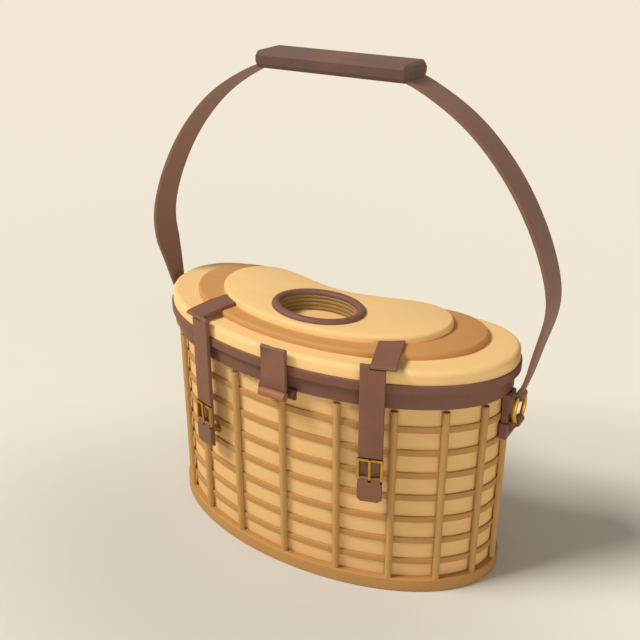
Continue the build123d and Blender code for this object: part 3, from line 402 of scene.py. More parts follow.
def cane_grain_group():
    """Long pale and dark fibres along the cane, and a slow change of tone."""
    group, tree, into, out = new_group("Cane Grain", (
        ("Colour", "colour", (0.8, 0.6, 0.3, 1)),
        ("Fibres", "vector", (30.0, 30.0, 1500.0)),
        ("Fibre Contrast", "value", 0.16),
        ("Tone Contrast", "value", 0.10),
        ("Roughness", "value", 0.5),
    ), (("Colour", "colour"), ("Roughness", "value"), ("Height", "value")))
    place = tree.node("ShaderNodeTexCoord").outputs["Object"]
    stretched = tree.vector("MULTIPLY", place, into.outputs["Fibres"])
    fibre = tree.noise(stretched, 1.0, 4.0, 0.6)
    tone = tree.noise(place, 22.0, 2.0)
    dark = tree.mix(1.0, into.outputs["Colour"], (0.62, 0.5, 0.4, 1), "MULTIPLY")
    light = tree.mix(1.0, into.outputs["Colour"], (1.12, 1.12, 1.1, 1), "MULTIPLY")
    veins = tree.maths("MULTIPLY", tree.spread(fibre, 0.42, 0.75), into.outputs["Fibre Contrast"])
    shades = tree.maths("MULTIPLY", tree.spread(tone, 0.35, 0.7), into.outputs["Tone Contrast"])
    pale = tree.mix(shades, into.outputs["Colour"], light)
    tree.join(tree.mix(veins, pale, dark), out.inputs["Colour"])
    rough = tree.maths("MULTIPLY_ADD", fibre, 0.12)
    rough.node.inputs[2].default_value = -0.06
    tree.join(tree.maths("ADD", into.outputs["Roughness"], rough), out.inputs["Roughness"])
    tree.join(fibre, out.inputs["Height"])
    return group


def weave_group():
    """Fine over-and-under rows on a wall, laid out on the piece's own UV map in metres."""
    group, tree, into, out = new_group("Fine Weave", (
        ("Row Height", "value", 0.0029),
        ("Strand Length", "value", 0.0275),
    ), (("Height", "value"), ("Gap", "value")))
    split = tree.node("ShaderNodeSeparateXYZ")
    tree.join(tree.node("ShaderNodeUVMap").outputs[0], split.inputs[0])
    rows = tree.maths("DIVIDE", split.outputs[1], into.outputs["Row Height"])
    parity = tree.maths("MULTIPLY", tree.maths("FLOOR", rows), math.pi)
    rounding = tree.maths("ABSOLUTE", tree.maths("SINE", tree.maths("MULTIPLY", rows, math.pi)))
    turns = tree.maths("MULTIPLY", tree.maths("DIVIDE", split.outputs[0], into.outputs["Strand Length"]),
                       2 * math.pi)
    wave = tree.maths("SINE", tree.maths("ADD", turns, parity))
    lifted = tree.maths("MULTIPLY_ADD", wave, 0.18)
    lifted.node.inputs[2].default_value = 0.82
    shape = tree.maths("POWER", rounding, 0.5)
    tree.join(tree.maths("MULTIPLY", shape, lifted), out.inputs["Height"])
    # Gap marks the seams between rows, where painted shade is laid
    tree.join(tree.spread(rounding, 0.35, 0.0), out.inputs["Gap"])
    return group


def leather_grain_group():
    """Pebbled hide with creases and a slow change of tone."""
    group, tree, into, out = new_group("Leather Grain", (
        ("Colour", "colour", (0.2, 0.1, 0.06, 1)),
        ("Pebble Size", "value", 0.0011),
        ("Tone Contrast", "value", 0.3),
        ("Roughness", "value", 0.6),
    ), (("Colour", "colour"), ("Roughness", "value"), ("Height", "value")))
    place = tree.node("ShaderNodeTexCoord").outputs["Object"]
    cells = tree.node("ShaderNodeTexVoronoi", feature="SMOOTH_F1")
    tree.join(place, cells.inputs["Vector"])
    tree.join(tree.maths("DIVIDE", 1.0, into.outputs["Pebble Size"]), cells.inputs["Scale"])
    pebble = cells.outputs["Distance"]
    tone = tree.noise(place, 38.0, 3.0)
    crease = tree.spread(tree.noise(place, 160.0, 4.0, 0.65), 0.55, 0.72)
    dark = tree.mix(1.0, into.outputs["Colour"], (0.72, 0.66, 0.62, 1), "MULTIPLY")
    light = tree.mix(1.0, into.outputs["Colour"], (1.22, 1.16, 1.1, 1), "MULTIPLY")
    toned = tree.mix(tree.maths("MULTIPLY", tree.spread(tone, 0.4, 0.68), into.outputs["Tone Contrast"]),
                     into.outputs["Colour"], light)
    creased = tree.mix(tree.maths("MULTIPLY", crease, 0.35), toned, dark)
    grained = tree.mix(tree.maths("MULTIPLY", tree.spread(pebble, 0.45, 0.75), 0.22), creased, dark)
    tree.join(grained, out.inputs["Colour"])
    rough = tree.maths("MULTIPLY_ADD", tone, 0.16)
    rough.node.inputs[2].default_value = -0.08
    tree.join(tree.maths("ADD", into.outputs["Roughness"], rough), out.inputs["Roughness"])
    height = tree.maths("MULTIPLY_ADD", pebble, -1.0)
    tree.feed(height.node.inputs[2], tree.maths("MULTIPLY", crease, -0.5))
    tree.join(height, out.inputs["Height"])
    return group


def patina_group():
    """Tarnish in patches and fine rub marks on metal."""
    group, tree, into, out = new_group("Patina", (
        ("Colour", "colour", (0.8, 0.6, 0.2, 1)),
        ("Tarnish", "value", 0.35),
        ("Roughness", "value", 0.3),
    ), (("Colour", "colour"), ("Roughness", "value"), ("Height", "value")))
    place = tree.node("ShaderNodeTexCoord").outputs["Object"]
    patches = tree.spread(tree.noise(place, 240.0, 4.0, 0.6), 0.45, 0.7)
    scratches = tree.noise(tree.vector("MULTIPLY", place, (3200.0, 300.0, 300.0)), 1.0, 2.0)
    dull = tree.mix(1.0, into.outputs["Colour"], (0.62, 0.5, 0.36, 1), "MULTIPLY")
    tree.join(tree.mix(tree.maths("MULTIPLY", patches, into.outputs["Tarnish"]), into.outputs["Colour"], dull),
              out.inputs["Colour"])
    rough = tree.maths("MULTIPLY", patches, 0.2)
    tree.join(tree.maths("ADD", into.outputs["Roughness"], rough), out.inputs["Roughness"])
    tree.join(scratches, out.inputs["Height"])
    return group


def new_material(name, metallic=0.0, coat=0.0):
    if name in bpy.data.materials:
        raise ValueError(f"the frame has a material named {name} already")
    material = bpy.data.materials.new(name)
    material.use_nodes = True
    shader = material.node_tree.nodes["Principled BSDF"]
    shader.inputs["Metallic"].default_value = metallic
    shader.inputs["Coat Weight"].default_value = coat
    return material, Tree(material.node_tree), shader


def use_group(tree, group, values):
    made = tree.node("ShaderNodeGroup", node_tree=bpy.data.node_groups[group])
    for label, value in values.items():
        tree.feed(made.inputs[label], value)
    return made


def finish_surface(tree, shader, grain, strength, distance):
    tree.join(grain.outputs["Colour"], shader.inputs["Base Color"])
    tree.join(grain.outputs["Roughness"], shader.inputs["Roughness"])
    bump = tree.node("ShaderNodeBump")
    bump.inputs["Strength"].default_value = strength
    bump.inputs["Distance"].default_value = distance
    tree.join(grain.outputs["Height"], bump.inputs["Height"])
    tree.join(bump.outputs[0], shader.inputs["Normal"])
    return bump


def opaque(colour):
    return (*colour, 1.0)


def cane_material(name, colour, fibres, contrast=0.16, roughness=0.62):
    material, tree, shader = new_material(name)
    shader.inputs["Specular IOR Level"].default_value = 0.3
    grain = use_group(tree, "Cane Grain", {"Colour": opaque(colour), "Fibres": fibres,
                                           "Fibre Contrast": contrast, "Roughness": roughness})
    finish_surface(tree, shader, grain, 0.25, 0.0002)
    return material


def woven_material(name, colour):
    material, tree, shader = new_material(name)
    shader.inputs["Specular IOR Level"].default_value = 0.3
    grain = use_group(tree, "Cane Grain", {"Colour": opaque(colour), "Fibres": ALONG_PLAN,
                                           "Fibre Contrast": 0.12, "Roughness": 0.58})
    weave = use_group(tree, "Fine Weave", {"Row Height": cane().row_height})
    # painted shade: the gaps between woven rows are mixed towards the darker band colour
    gap = tree.maths("MULTIPLY", weave.outputs["Gap"], 0.10)
    shaded = tree.mix(gap, grain.outputs["Colour"], opaque(cane().band_colour))
    bump = finish_surface(tree, shader, grain, 0.35, 0.0003)
    tree.join(shaded, shader.inputs["Base Color"])
    tree.join(weave.outputs["Height"], bump.inputs["Height"])
    return material


def leather_material(name, colour, roughness=0.62):
    material, tree, shader = new_material(name)
    grain = use_group(tree, "Leather Grain", {"Colour": opaque(colour), "Roughness": roughness,
                                              "Pebble Size": leather().pebble_size})
    finish_surface(tree, shader, grain, 0.22, 0.00025)
    return material


def highlit_grip_leather_material(name, colour, painted_highlight_colour):
    """Leather of the grip, with a painted reflection: redder and lighter on the top of it."""
    material, tree, shader = new_material(name)
    place = tree.node("ShaderNodeTexCoord").outputs["Object"]
    low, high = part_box("handle_grip")
    away = tree.node("ShaderNodeVectorMath", operation="DISTANCE")
    tree.join(place, away.inputs[0])
    away.inputs[1].default_value = ((low.x + high.x) / 2, (low.y + high.y) / 2, high.z)
    ragged = tree.maths("MULTIPLY_ADD", tree.noise(place, 70.0, 3.0), 0.05)
    tree.feed(ragged.node.inputs[2], away.outputs["Value"])
    # painted reflection, strongest within 3 cm of the grip's top centre and gone by 6 cm
    painted_highlight_share = tree.spread(ragged, 0.03, 0.06, 0.55, 0.0)
    tone = tree.mix(painted_highlight_share, opaque(colour), opaque(painted_highlight_colour))
    grain = use_group(tree, "Leather Grain", {"Colour": tone, "Roughness": 0.7,
                                              "Pebble Size": leather().pebble_size})
    finish_surface(tree, shader, grain, 0.22, 0.00025)
    return material


def brass_material(name, colour, roughness=0.3):
    material, tree, shader = new_material(name, metallic=1.0)
    shader.inputs["Specular Tint"].default_value = (1.0, 0.8, 0.5, 1.0)
    grain = use_group(tree, "Patina", {"Colour": opaque(colour), "Roughness": roughness})
    finish_surface(tree, shader, grain, 0.05, 0.0001)
    return material


ALONG_PLAN = (30.0, 30.0, 1500.0)     # fibres lie round the wall
UPRIGHT = (1500.0, 1500.0, 30.0)      # fibres stand up
ALONG_LENGTH = (24.0, 900.0, 900.0)   # fibres lie along the length


def material_named(name):
    return bpy.data.materials[name]


# ---------------------------------------------------------------- operators
class CREEL_OT_finishes(bpy.types.Operator):
    """Make the cane, leather and brass finishes"""

    bl_idname = "creel.finishes"
    bl_label = "Finishes"

    def execute(self, context):
        cane_grain_group()
        weave_group()
        leather_grain_group()
        patina_group()
        colours = cane()
        woven_material("wall cane", colours.wall_colour)
        cane_material("lid cane", colours.lid_colour, ALONG_LENGTH, 0.10)
        cane_material("ochre cane", colours.ochre_colour, ALONG_LENGTH, 0.14)
        cane_material("band cane", colours.band_colour, ALONG_PLAN, 0.16)
        cane_material("stake cane", colours.stake_colour, UPRIGHT, 0.18)
        cane_material("shaded end cane", colours.end_shade_colour, UPRIGHT, 0.3, 0.8)
        cane_material("base cane", colours.base_colour, ALONG_PLAN, 0.16)
        cane_material("shaded throat cane", colours.throat_shade_colour, ALONG_PLAN, 0.25)
        cane_material("hoop wood", colours.band_colour, ALONG_PLAN, 0.25)
        hides = leather()
        leather_material("strap leather", hides.strap_colour)
        leather_material("binding leather", hides.binding_colour)
        leather_material("handle leather", hides.handle_colour)
        highlit_grip_leather_material("grip leather", hides.grip_colour, hides.painted_highlight_colour)
        leather_material("worn leather", hides.worn_colour, 0.5)
        metal = fittings()
        brass_material("aged brass", metal.brass_colour, 0.32)
        brass_material("bright brass", metal.bright_brass_colour, 0.28)
        brass_material("dull brass", metal.dull_brass_colour, 0.6)
        cane_material("toggle wood", metal.toggle_colour, ALONG_LENGTH, 0.25, 0.6)
        cane_material("keeper wood", metal.keeper_colour, ALONG_LENGTH, 0.25, 0.6)
        return {"FINISHED"}


class CREEL_OT_wall(bpy.types.Operator):
    """Build the basket's wall, its base rim and the leather band at the top"""

    bl_idname = "creel.wall"
    bl_label = "Basket wall"

    def execute(self, context):
        band_low, band_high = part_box("rim_band")
        wall_low, wall_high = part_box("basket_wall")
        reach = plan().half_length
        wall_out = wall_high.x - reach
        panel_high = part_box("base_panel")[1]
        wall_in = panel_high.x - reach
        profile = rounded_profile(wall_out, wall_in, wall_low.z, wall_high.z, 0.4 * MM)
        wall = kidney_band("cane_wall", profile)
        wall.data.materials.append(material_named("wall cane"))
        seat(wall, "basket", "wall_cane", "basket_wall")
        dress("base_panel", material_named("wall cane"))

        rim_low, rim_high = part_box("base_rim")
        rim = kidney_band("cane_base_rim", rounded_profile(rim_high.x - reach, wall_out, rim_low.z, rim_high.z,
                                                           1.6 * MM, 0.2 * MM))
        rim.data.materials.append(material_named("base cane"))
        seat(rim, "basket", "base_rim_cane", "base_rim")

        hoop_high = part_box("rim_hoop")[1]
        band = kidney_band("leather_rim_band", rounded_profile(band_high.x - reach, hoop_high.x - reach,
                                                               band_low.z, band_high.z, 0.8 * MM, 0.2 * MM))
        band.data.materials.append(material_named("binding leather"))
        seat(band, "basket", "binding_leather", "rim_band")
        dress("rim_hoop", material_named("hoop wood"))
        return {"FINISHED"}


def outline_wire(name, grow, steps):
    """Closed wire round the plan, for a node tree to read."""
    mesh = bpy.data.meshes.new(name)
    loop = kidney_loop(grow, 0.0, steps=steps)
    mesh.from_pydata([tuple(point) for point in loop], [(i, (i + 1) % steps) for i in range(steps)], [])
    facing = mesh.attributes.new("outwards", "FLOAT_VECTOR", "POINT")
    for step in range(steps):
        facing.data[step].vector = outline_place(2 * math.pi * step / steps)[1]
    obj = bpy.data.objects.new(name, mesh)
    bpy.context.scene.collection.objects.link(obj)
    return obj


def geometry_tree(name, inputs):
    """Empty geometry node tree with a Geometry socket each way and named inputs."""
    group = bpy.data.node_groups.new(name, "GeometryNodeTree")
    group.interface.new_socket("Geometry", in_out="INPUT", socket_type="NodeSocketGeometry")
    for label, kind in inputs:
        group.interface.new_socket(label, in_out="INPUT", socket_type=kind)
    group.interface.new_socket("Geometry", in_out="OUTPUT", socket_type="NodeSocketGeometry")
    tree = Tree(group)
    return group, tree, tree.node("NodeGroupInput"), tree.node("NodeGroupOutput")


def run_geometry(name, source, group, values):
    """Runs a node tree on a wire and turns the result into a plain mesh of its own."""
    modifier = source.modifiers.new(group.name, "NODES")
    modifier.node_group = group
    for item in group.interface.items_tree:
        if item.item_type == "SOCKET" and item.in_out == "INPUT" and item.name in values:
            modifier[item.identifier] = values[item.name]
    ready = source.evaluated_get(bpy.context.evaluated_depsgraph_get())
    mesh = bpy.data.meshes.new_from_object(ready)
    mesh.name = name
    piece = bpy.data.objects.new(name, mesh)
    bpy.context.scene.collection.objects.link(piece)
    bpy.data.objects.remove(source)
    return piece


def band_tree():
    """Rounded strip swept round a wire and repeated upwards."""
    group, tree, into, out = geometry_tree("Cane Bands", (
        ("Width", "NodeSocketFloat"), ("Height", "NodeSocketFloat"), ("Rounding", "NodeSocketFloat"),
        ("Count", "NodeSocketInt"), ("Spacing", "NodeSocketFloat"), ("First Height", "NodeSocketFloat"),
        ("Material", "NodeSocketMaterial")))
    wire = tree.node("GeometryNodeMeshToCurve")
    tree.join(into.outputs["Geometry"], wire.inputs["Mesh"])
    upright = tree.node("GeometryNodeSetCurveNormal", mode="Z_UP")
    tree.join(wire.outputs[0], upright.inputs["Curve"])
    section = tree.node("GeometryNodeCurvePrimitiveQuadrilateral")
    tree.join(into.outputs["Height"], section.inputs["Height"])
    tree.join(into.outputs["Width"], section.inputs["Width"])
    rounded = tree.node("GeometryNodeFilletCurve", mode="POLY")
    tree.join(section.outputs[0], rounded.inputs["Curve"])
    tree.join(into.outputs["Rounding"], rounded.inputs["Radius"])
    rounded.inputs["Count"].default_value = 3
    strip = tree.node("GeometryNodeCurveToMesh")
    tree.join(upright.outputs[0], strip.inputs["Curve"])
    tree.join(rounded.outputs[0], strip.inputs["Profile Curve"])
    levels = tree.node("GeometryNodeMeshLine")
    tree.join(into.outputs["Count"], levels.inputs["Count"])
    start = tree.node("ShaderNodeCombineXYZ")
    tree.join(into.outputs["First Height"], start.inputs["Z"])
    step = tree.node("ShaderNodeCombineXYZ")
    tree.join(into.outputs["Spacing"], step.inputs["Z"])
    tree.join(start.outputs[0], levels.inputs["Start Location"])
    tree.join(step.outputs[0], levels.inputs["Offset"])
    copies = tree.node("GeometryNodeInstanceOnPoints")
    tree.join(levels.outputs[0], copies.inputs["Points"])
    tree.join(strip.outputs[0], copies.inputs["Instance"])
    finish_tree(tree, into, out, copies.outputs[0])
    return group


def finish_tree(tree, into, out, geometry):
    """Real copies with their material, as every tree here ends."""
    real = tree.node("GeometryNodeRealizeInstances")
    tree.join(geometry, real.inputs[0])
    painted = tree.node("GeometryNodeSetMaterial")
    tree.join(real.outputs[0], painted.inputs["Geometry"])
    tree.join(into.outputs["Material"], painted.inputs["Material"])
    tree.join(painted.outputs[0], out.inputs["Geometry"])


def stake_tree():
    """One cane stood at every point of a wire, turned to face outwards, with its upward-facing cut ends darker:
    painted shade from the rim band above them.
    """
    group, tree, into, out = geometry_tree("Cane Stakes", (
        ("Cane", "NodeSocketObject"), ("Material", "NodeSocketMaterial"), ("End Material", "NodeSocketMaterial")))
    rod = tree.node("GeometryNodeObjectInfo")
    tree.join(into.outputs["Cane"], rod.inputs["Object"])
    outwards = tree.node("GeometryNodeInputNamedAttribute", data_type="FLOAT_VECTOR")
    outwards.inputs["Name"].default_value = "outwards"
    turned = tree.node("FunctionNodeAlignRotationToVector", axis="X", pivot_axis="Z")
    tree.join(outwards.outputs["Attribute"], turned.inputs["Vector"])
    copies = tree.node("GeometryNodeInstanceOnPoints")
    tree.join(into.outputs["Geometry"], copies.inputs["Points"])
    tree.join(rod.outputs["Geometry"], copies.inputs["Instance"])
    tree.join(turned.outputs[0], copies.inputs["Rotation"])
    real = tree.node("GeometryNodeRealizeInstances")
    tree.join(copies.outputs[0], real.inputs[0])
    sides = tree.node("GeometryNodeSetMaterial")
    tree.join(real.outputs[0], sides.inputs["Geometry"])
    tree.join(into.outputs["Material"], sides.inputs["Material"])
    facing = tree.node("ShaderNodeSeparateXYZ")
    tree.join(tree.node("GeometryNodeInputNormal").outputs[0], facing.inputs[0])
    # faces turned upwards get the darker end material: painted shade
    upward = tree.node("FunctionNodeCompare", data_type="FLOAT", operation="GREATER_THAN")
    tree.join(facing.outputs["Z"], upward.inputs[0])
    upward.inputs[1].default_value = 0.35
    ends = tree.node("GeometryNodeSetMaterial")
    tree.join(sides.outputs[0], ends.inputs["Geometry"])
    tree.join(upward.outputs[0], ends.inputs["Selection"])
    tree.join(into.outputs["End Material"], ends.inputs["Material"])
    tree.join(ends.outputs[0], out.inputs["Geometry"])
    return group


def stake_section(root, radius, height, share):
    """Flat-backed section of a stake, drawn in to a share of its size."""
    points = [(0, -radius), (0, radius)]
    for step in range(9):
        angle = math.pi / 2 - math.pi * step / 8
        points.append((root + radius * math.cos(angle), radius * math.sin(angle)))
    middle = (root + radius) / 2
    return [Vector((middle + (x - middle) * share, y * share, height)) for x, y in points]


class CREEL_OT_weave(bpy.types.Operator):
    """Weave the bands round the wall and stand the stakes in front of them"""

    bl_idname = "creel.weave"
    bl_label = "Bands and stakes"

    def execute(self, context):
        settings = cane()
        reach = plan().half_length
        first_low, first_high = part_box("weaver_band_1")
        last_low, last_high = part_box(f"weaver_band_{settings.weavers}")
        wall_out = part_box("basket_wall")[1].x - reach
        band_out = first_high.x - reach
        thickness = band_out - wall_out
        middle = (band_out + wall_out) / 2
        spacing = (last_low.z - first_low.z) / (settings.weavers - 1)
        wire = outline_wire("band wire", middle, RING_STEPS)
        bands = run_geometry("cane_bands", wire, band_tree(), {
            "Width": thickness, "Height": first_high.z - first_low.z, "Rounding": settings.band_rounding,
            "Count": settings.weavers, "Spacing": spacing, "First Height": (first_low.z + first_high.z) / 2,
            "Material": material_named("band cane")})
        seat(bands, "basket", "band_cane", *[f"weaver_band_{k + 1}" for k in range(settings.weavers)])

        low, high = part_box("wall_stakes")
        back = band_out + 0.05 * MM
        radius = settings.stake_radius
        root = high.x - reach - back - radius
        rod = skin_loops("stake rod", [stake_section(root, radius, height, share) for height, share in (
            (low.z, 1.0), (high.z - 1.0 * MM, 1.0), (high.z - 0.45 * MM, 0.95), (high.z, 0.8))], closed=False)
        feet = outline_wire("stake feet", back, settings.stakes)
        stakes = run_geometry("cane_stakes", feet, stake_tree(), {
            "Cane": rod, "Material": material_named("stake cane"), "End Material": material_named("shaded end cane")})
        bpy.data.objects.remove(rod)
        seat(stakes, "basket", "stake_cane", "wall_stakes")
        return {"FINISHED"}


def hole_sizes():
    """Centre and half sizes of the bore through the lid."""
    low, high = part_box("throat_coils")
    centre = (low + high) / 2
    return centre, (high.x - low.x) / 2, (high.y - low.y) / 2


def tier_piece(name, shares, shift, grow, low, high, rounding, chamfer, material):
    """One tier of the lid: kidney outside, oval bore inside."""
    centre, half_length, half_depth = hole_sizes()
    edge = []
    if chamfer:
        edge = [(grow, low), (grow, high - chamfer), (grow - 0.3 * chamfer, high - 0.45 * chamfer),
                (grow - 0.62 * chamfer, high - 0.14 * chamfer), (grow - chamfer, high)]
    else:
        edge = [(grow, low)] + rounded_corner((grow, high), (grow, low), (grow - 1.0, high), rounding, 8)
    loops = [kidney_loop(out, height, shares, shift) for out, height in edge]
    loops.append(oval_loop(centre, half_length, half_depth, high, RING_STEPS))
    loops.append(oval_loop(centre, half_length, half_depth, low, RING_STEPS))
    piece = skin_loops(name, loops)
    piece.data.materials.append(material)
    return piece


class CREEL_OT_lid(bpy.types.Operator):
    """Build the three tiers of the lid and its leather edge"""

    bl_idname = "creel.lid"
    bl_label = "Lid"

    def execute(self, context):
        reach = plan().half_length
        lip_low, lip_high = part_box("lid_edge_binding")
        hoop_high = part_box("lid_hoop")[1]
        lip = kidney_band("leather_lid_edge", rounded_profile(lip_high.x - reach, hoop_high.x - reach,
                                                              lip_low.z, lip_high.z, 1.1 * MM, 0.2 * MM))
        lip.data.materials.append(material_named("binding leather"))
        seat(lip, "lid", "binding_leather", "lid_edge_binding")
        dress("lid_hoop", material_named("hoop wood"))

        centre, half_length, half_depth = hole_sizes()
        low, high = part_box("lid_lower_tier")
        top_thickness = 5.4 * MM
        hoop_inner = hoop_high.x - reach - 12.7 * MM
        grow = high.x - reach
        edge = [(grow, low.z)] + rounded_corner((grow, high.z), (grow, low.z), (grow - 1.0, high.z), 5.0 * MM, 8)
        loops = [kidney_loop(out, height) for out, height in edge]
        loops.append(oval_loop(centre, half_length, half_depth, high.z, RING_STEPS))
        loops.append(oval_loop(centre, half_length, half_depth, high.z - top_thickness, RING_STEPS))
        loops.append(kidney_loop(hoop_inner, high.z - top_thickness))
        loops.append(kidney_loop(hoop_inner, low.z))
        lower = skin_loops("cane_lower_tier", loops)
        lower.data.materials.append(material_named("lid cane"))
        seat(lower, "lid", "lid_cane", "lid_lower_tier")

        low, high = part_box("lid_middle_tier")
        middle = tier_piece("cane_middle_tier", (0.849, 0.869), -0.4 * MM, 0.0, low.z, high.z, 0,
                            2.5 * MM, material_named("ochre cane"))
        seat(middle, "lid", "band_cane", "lid_middle_tier")
        low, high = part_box("lid_upper_tier")
        upper = tier_piece("cane_upper_tier", (0.667, 0.709), -3.3 * MM, 0.0, low.z, high.z, 0,
                           2.5 * MM, material_named("lid cane"))
        seat(upper, "lid", "lid_cane", "lid_upper_tier")
        return {"FINISHED"}


class CREEL_OT_fish_hole(bpy.types.Operator):
    """Line the fish hole with coiled cane, edge it with leather and hang its flap"""

    bl_idname = "creel.fish_hole"
    bl_label = "Fish hole"

    def execute(self, context):
        centre, half_length, half_depth = hole_sizes()
        low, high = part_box("throat_coils")
        coils = 4
        coil = (high.z - low.z) / coils
        wall = 4.0 * MM
        loops = [oval_loop(centre, half_length, half_depth, low.z, OVAL_STEPS),
                 oval_loop(centre, half_length, half_depth, high.z, OVAL_STEPS)]
        for number in range(coils):
            top = high.z - number * coil
            for step in range(7):
                angle = math.pi * step / 6
                inset = wall - 1.4 * MM * (1 - math.sin(angle))
                loops.append(oval_loop(centre, half_length - inset, half_depth - inset,
                                       top - coil / 2 * (1 - math.cos(angle)) - 0.01 * MM * (step == 0),
                                       OVAL_STEPS))
        throat = skin_loops("cane_throat", loops)
        # the throat's colour is the lid cane darkened: painted shade inside the hole
        throat.data.materials.append(material_named("shaded throat cane"))
        seat(throat, "lid", "lid_cane", "throat_coils")

        ring_low, ring_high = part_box("hole_ring")
        outer_length = (ring_high.x - ring_low.x) / 2
        outer_depth = (ring_high.y - ring_low.y) / 2
        width = outer_length - (half_length - wall)
        loops = []
        for step in range(13):
            angle = math.pi * step / 12
            inset = width / 2 * (1 - math.cos(angle))
            height = ring_low.z + (ring_high.z - ring_low.z) * 0.7 * math.sin(angle) ** 0.8
            loops.append(oval_loop(centre, outer_length - inset, outer_depth - inset, height, OVAL_STEPS))
        ring = skin_loops("leather_hole_ring", loops, smooth_angle=60)
        ring.data.materials.append(material_named("binding leather"))
        seat(ring, "lid", "binding_leather", "hole_ring")

        flap = soft_edged("cane_fish_flap", "fish_flap", 0.8 * MM, material_named("lid cane"),
                          material_named("lid cane"))
        seat(flap, "fish_flap", "lid_cane", "fish_flap")
        for node in ("flap_hinge_bracket", "flap_hinge_pin"):
            piece = soft_edged(f"brass_{node}", node, fittings().edge_rounding, material_named("aged brass"),
                               material_named("bright brass"))
            seat(piece, body_of_node(node), slot_of_node(node), node)
        return {"FINISHED"}


def leather_pieces(nodes, material="strap leather", edge_material="worn leather"):
    for node in nodes:
        piece = soft_edged(f"leather_{node}", node, leather().edge_rounding, material_named(material),
                           material_named(edge_material))
        seat(piece, body_of_node(node), slot_of_node(node), node)


def brass_pieces(nodes, material="aged brass", edge_material="bright brass"):
    for node in nodes:
        piece = soft_edged(f"brass_{node}", node, fittings().edge_rounding, material_named(material),
                           material_named(edge_material))
        seat(piece, body_of_node(node), slot_of_node(node), node)


class CREEL_OT_closing_straps(bpy.types.Operator):
    """Round the closing straps and fit their buckles, prongs and studs"""

    bl_idname = "creel.closing_straps"
    bl_label = "Closing straps"

    def execute(self, context):
        for side in ("left", "right"):
            leather_pieces([f"{side}_{part}" for part in ("top_strap", "closing_strap", "strap_end")])
            brass_pieces([f"{side}_{part}" for part in ("buckle_frame", "buckle_prong")])
            brass_pieces([f"{side}_{part}" for part in ("strap_fold_pin", "press_stud", "stud_socket")],
                         "dull brass", "dull brass")
        return {"FINISHED"}


class CREEL_OT_latch(bpy.types.Operator):
    """Fit the latch tab, its toggle and the keeper bar"""

    bl_idname = "creel.latch"
    bl_label = "Latch"

    def execute(self, context):
        leather_pieces(("latch_anchor", "latch_tab"))
        brass_pieces(("latch_pin",), "dull brass", "dull brass")
        for node, finish in (("latch_toggle", "toggle wood"), ("latch_keeper", "keeper wood")):
            piece = soft_edged(f"wood_{node}", node, 0.7 * MM, material_named(finish), material_named(finish))
            seat(piece, body_of_node(node), slot_of_node(node), node)
        return {"FINISHED"}


class CREEL_OT_handle(bpy.types.Operator):
    """Hang the strap handle on its two brass rings"""

    bl_idname = "creel.handle"
    bl_label = "Handle"

    def strap(self):
        """Strap with its sides drawn in a little between its widest place and the grip."""
        piece = soft_edged("leather_handle_strap", "handle_strap", leather().edge_rounding,
                           material_named("handle leather"), material_named("handle leather"))
        low, high = 0.262, 0.447
        for vertex in piece.data.vertices:
            rise = min(max((vertex.co.z - low) / (high - low), 0.0), 1.0)
            vertex.co.x -= math.copysign(leather().handle_draw * math.sin(math.pi * rise) ** 2, vertex.co.x)
        seat(piece, "handle", slot_of_node("handle_strap"), "handle_strap")

    def grip(self):
        """Eight-sided padded bar wrapped round the middle of the strap."""
        low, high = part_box("handle_grip")
        strap_thickness = 3.0 * MM
        spare = leather().grip_spare
        low = low - Vector((spare, spare * 0.4, strap_thickness + spare * 0.3))
        high = high + Vector((spare, spare * 0.4, spare * 0.35))
        middle = (low + high) / 2
        half = (high - low) / 2
        cut = 3.4 * MM

        def section(x, share_y, share_z):
            y, z = half.y * share_y, half.z * share_z
            corners = ((y, -z + cut), (y, z - cut), (y - cut, z), (-y + cut, z), (-y, z - cut), (-y, -z + cut),
                       (-y + cut, -z), (y - cut, -z))
            return [Vector((x, middle.y + across, middle.z + up)) for across, up in corners]

        in_y, in_z = 1 - cut / half.y, 1 - 0.5 * cut / half.z
        piece = skin_loops("leather_grip", [
            section(low.x, in_y, in_z), section(low.x + cut, 1, 1), section(high.x - cut, 1, 1),
            section(high.x, in_y, in_z)], closed=False, smooth_angle=20)
        piece.data.materials.append(material_named("grip leather"))
        bevel = piece.modifiers.new("Rounded edges", "BEVEL")
        bevel.width = 0.5 * MM
        bevel.segments = 2
        bevel.harden_normals = True
        seat(piece, "handle", slot_of_node("handle_grip"), "handle_grip")

    def execute(self, context):
        self.strap()
        self.grip()
        for side in ("left", "right"):
            leather_pieces((f"{side}_ring_patch", f"{side}_ring_chape"))
            low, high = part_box(f"{side}_handle_ring")
            centre = (low + high) / 2
            wire = (high.x - low.x) / 2
            radius = (high.z - low.z) / 2 - wire
            loops = []
            for step in range(16):
                turn = 2 * math.pi * step / 16
                reach = radius + wire * math.cos(turn)
                loops.append([Vector((centre.x + wire * math.sin(turn), centre.y + reach * math.cos(a),
                                      centre.z + reach * math.sin(a)))
                              for a in (2 * math.pi * k / 64 for k in range(64))])
            ring = skin_loops(f"brass_{side}_ring", loops, smooth_angle=80)
            ring.data.materials.append(material_named("aged brass"))
            seat(ring, f"{side}_ring", "brass", f"{side}_handle_ring")
        return {"FINISHED"}


class CREEL_OT_lid_hinges(bpy.types.Operator):
    """Fit the leather lid hinges and their brass pins"""

    bl_idname = "creel.lid_hinges"
    bl_label = "Lid hinges"

    def execute(self, context):
        for side in ("left", "right"):
            leather_pieces((f"{side}_hinge_body_leaf", f"{side}_hinge_lid_leaf"))
            brass_pieces((f"{side}_hinge_pin",))
        return {"FINISHED"}


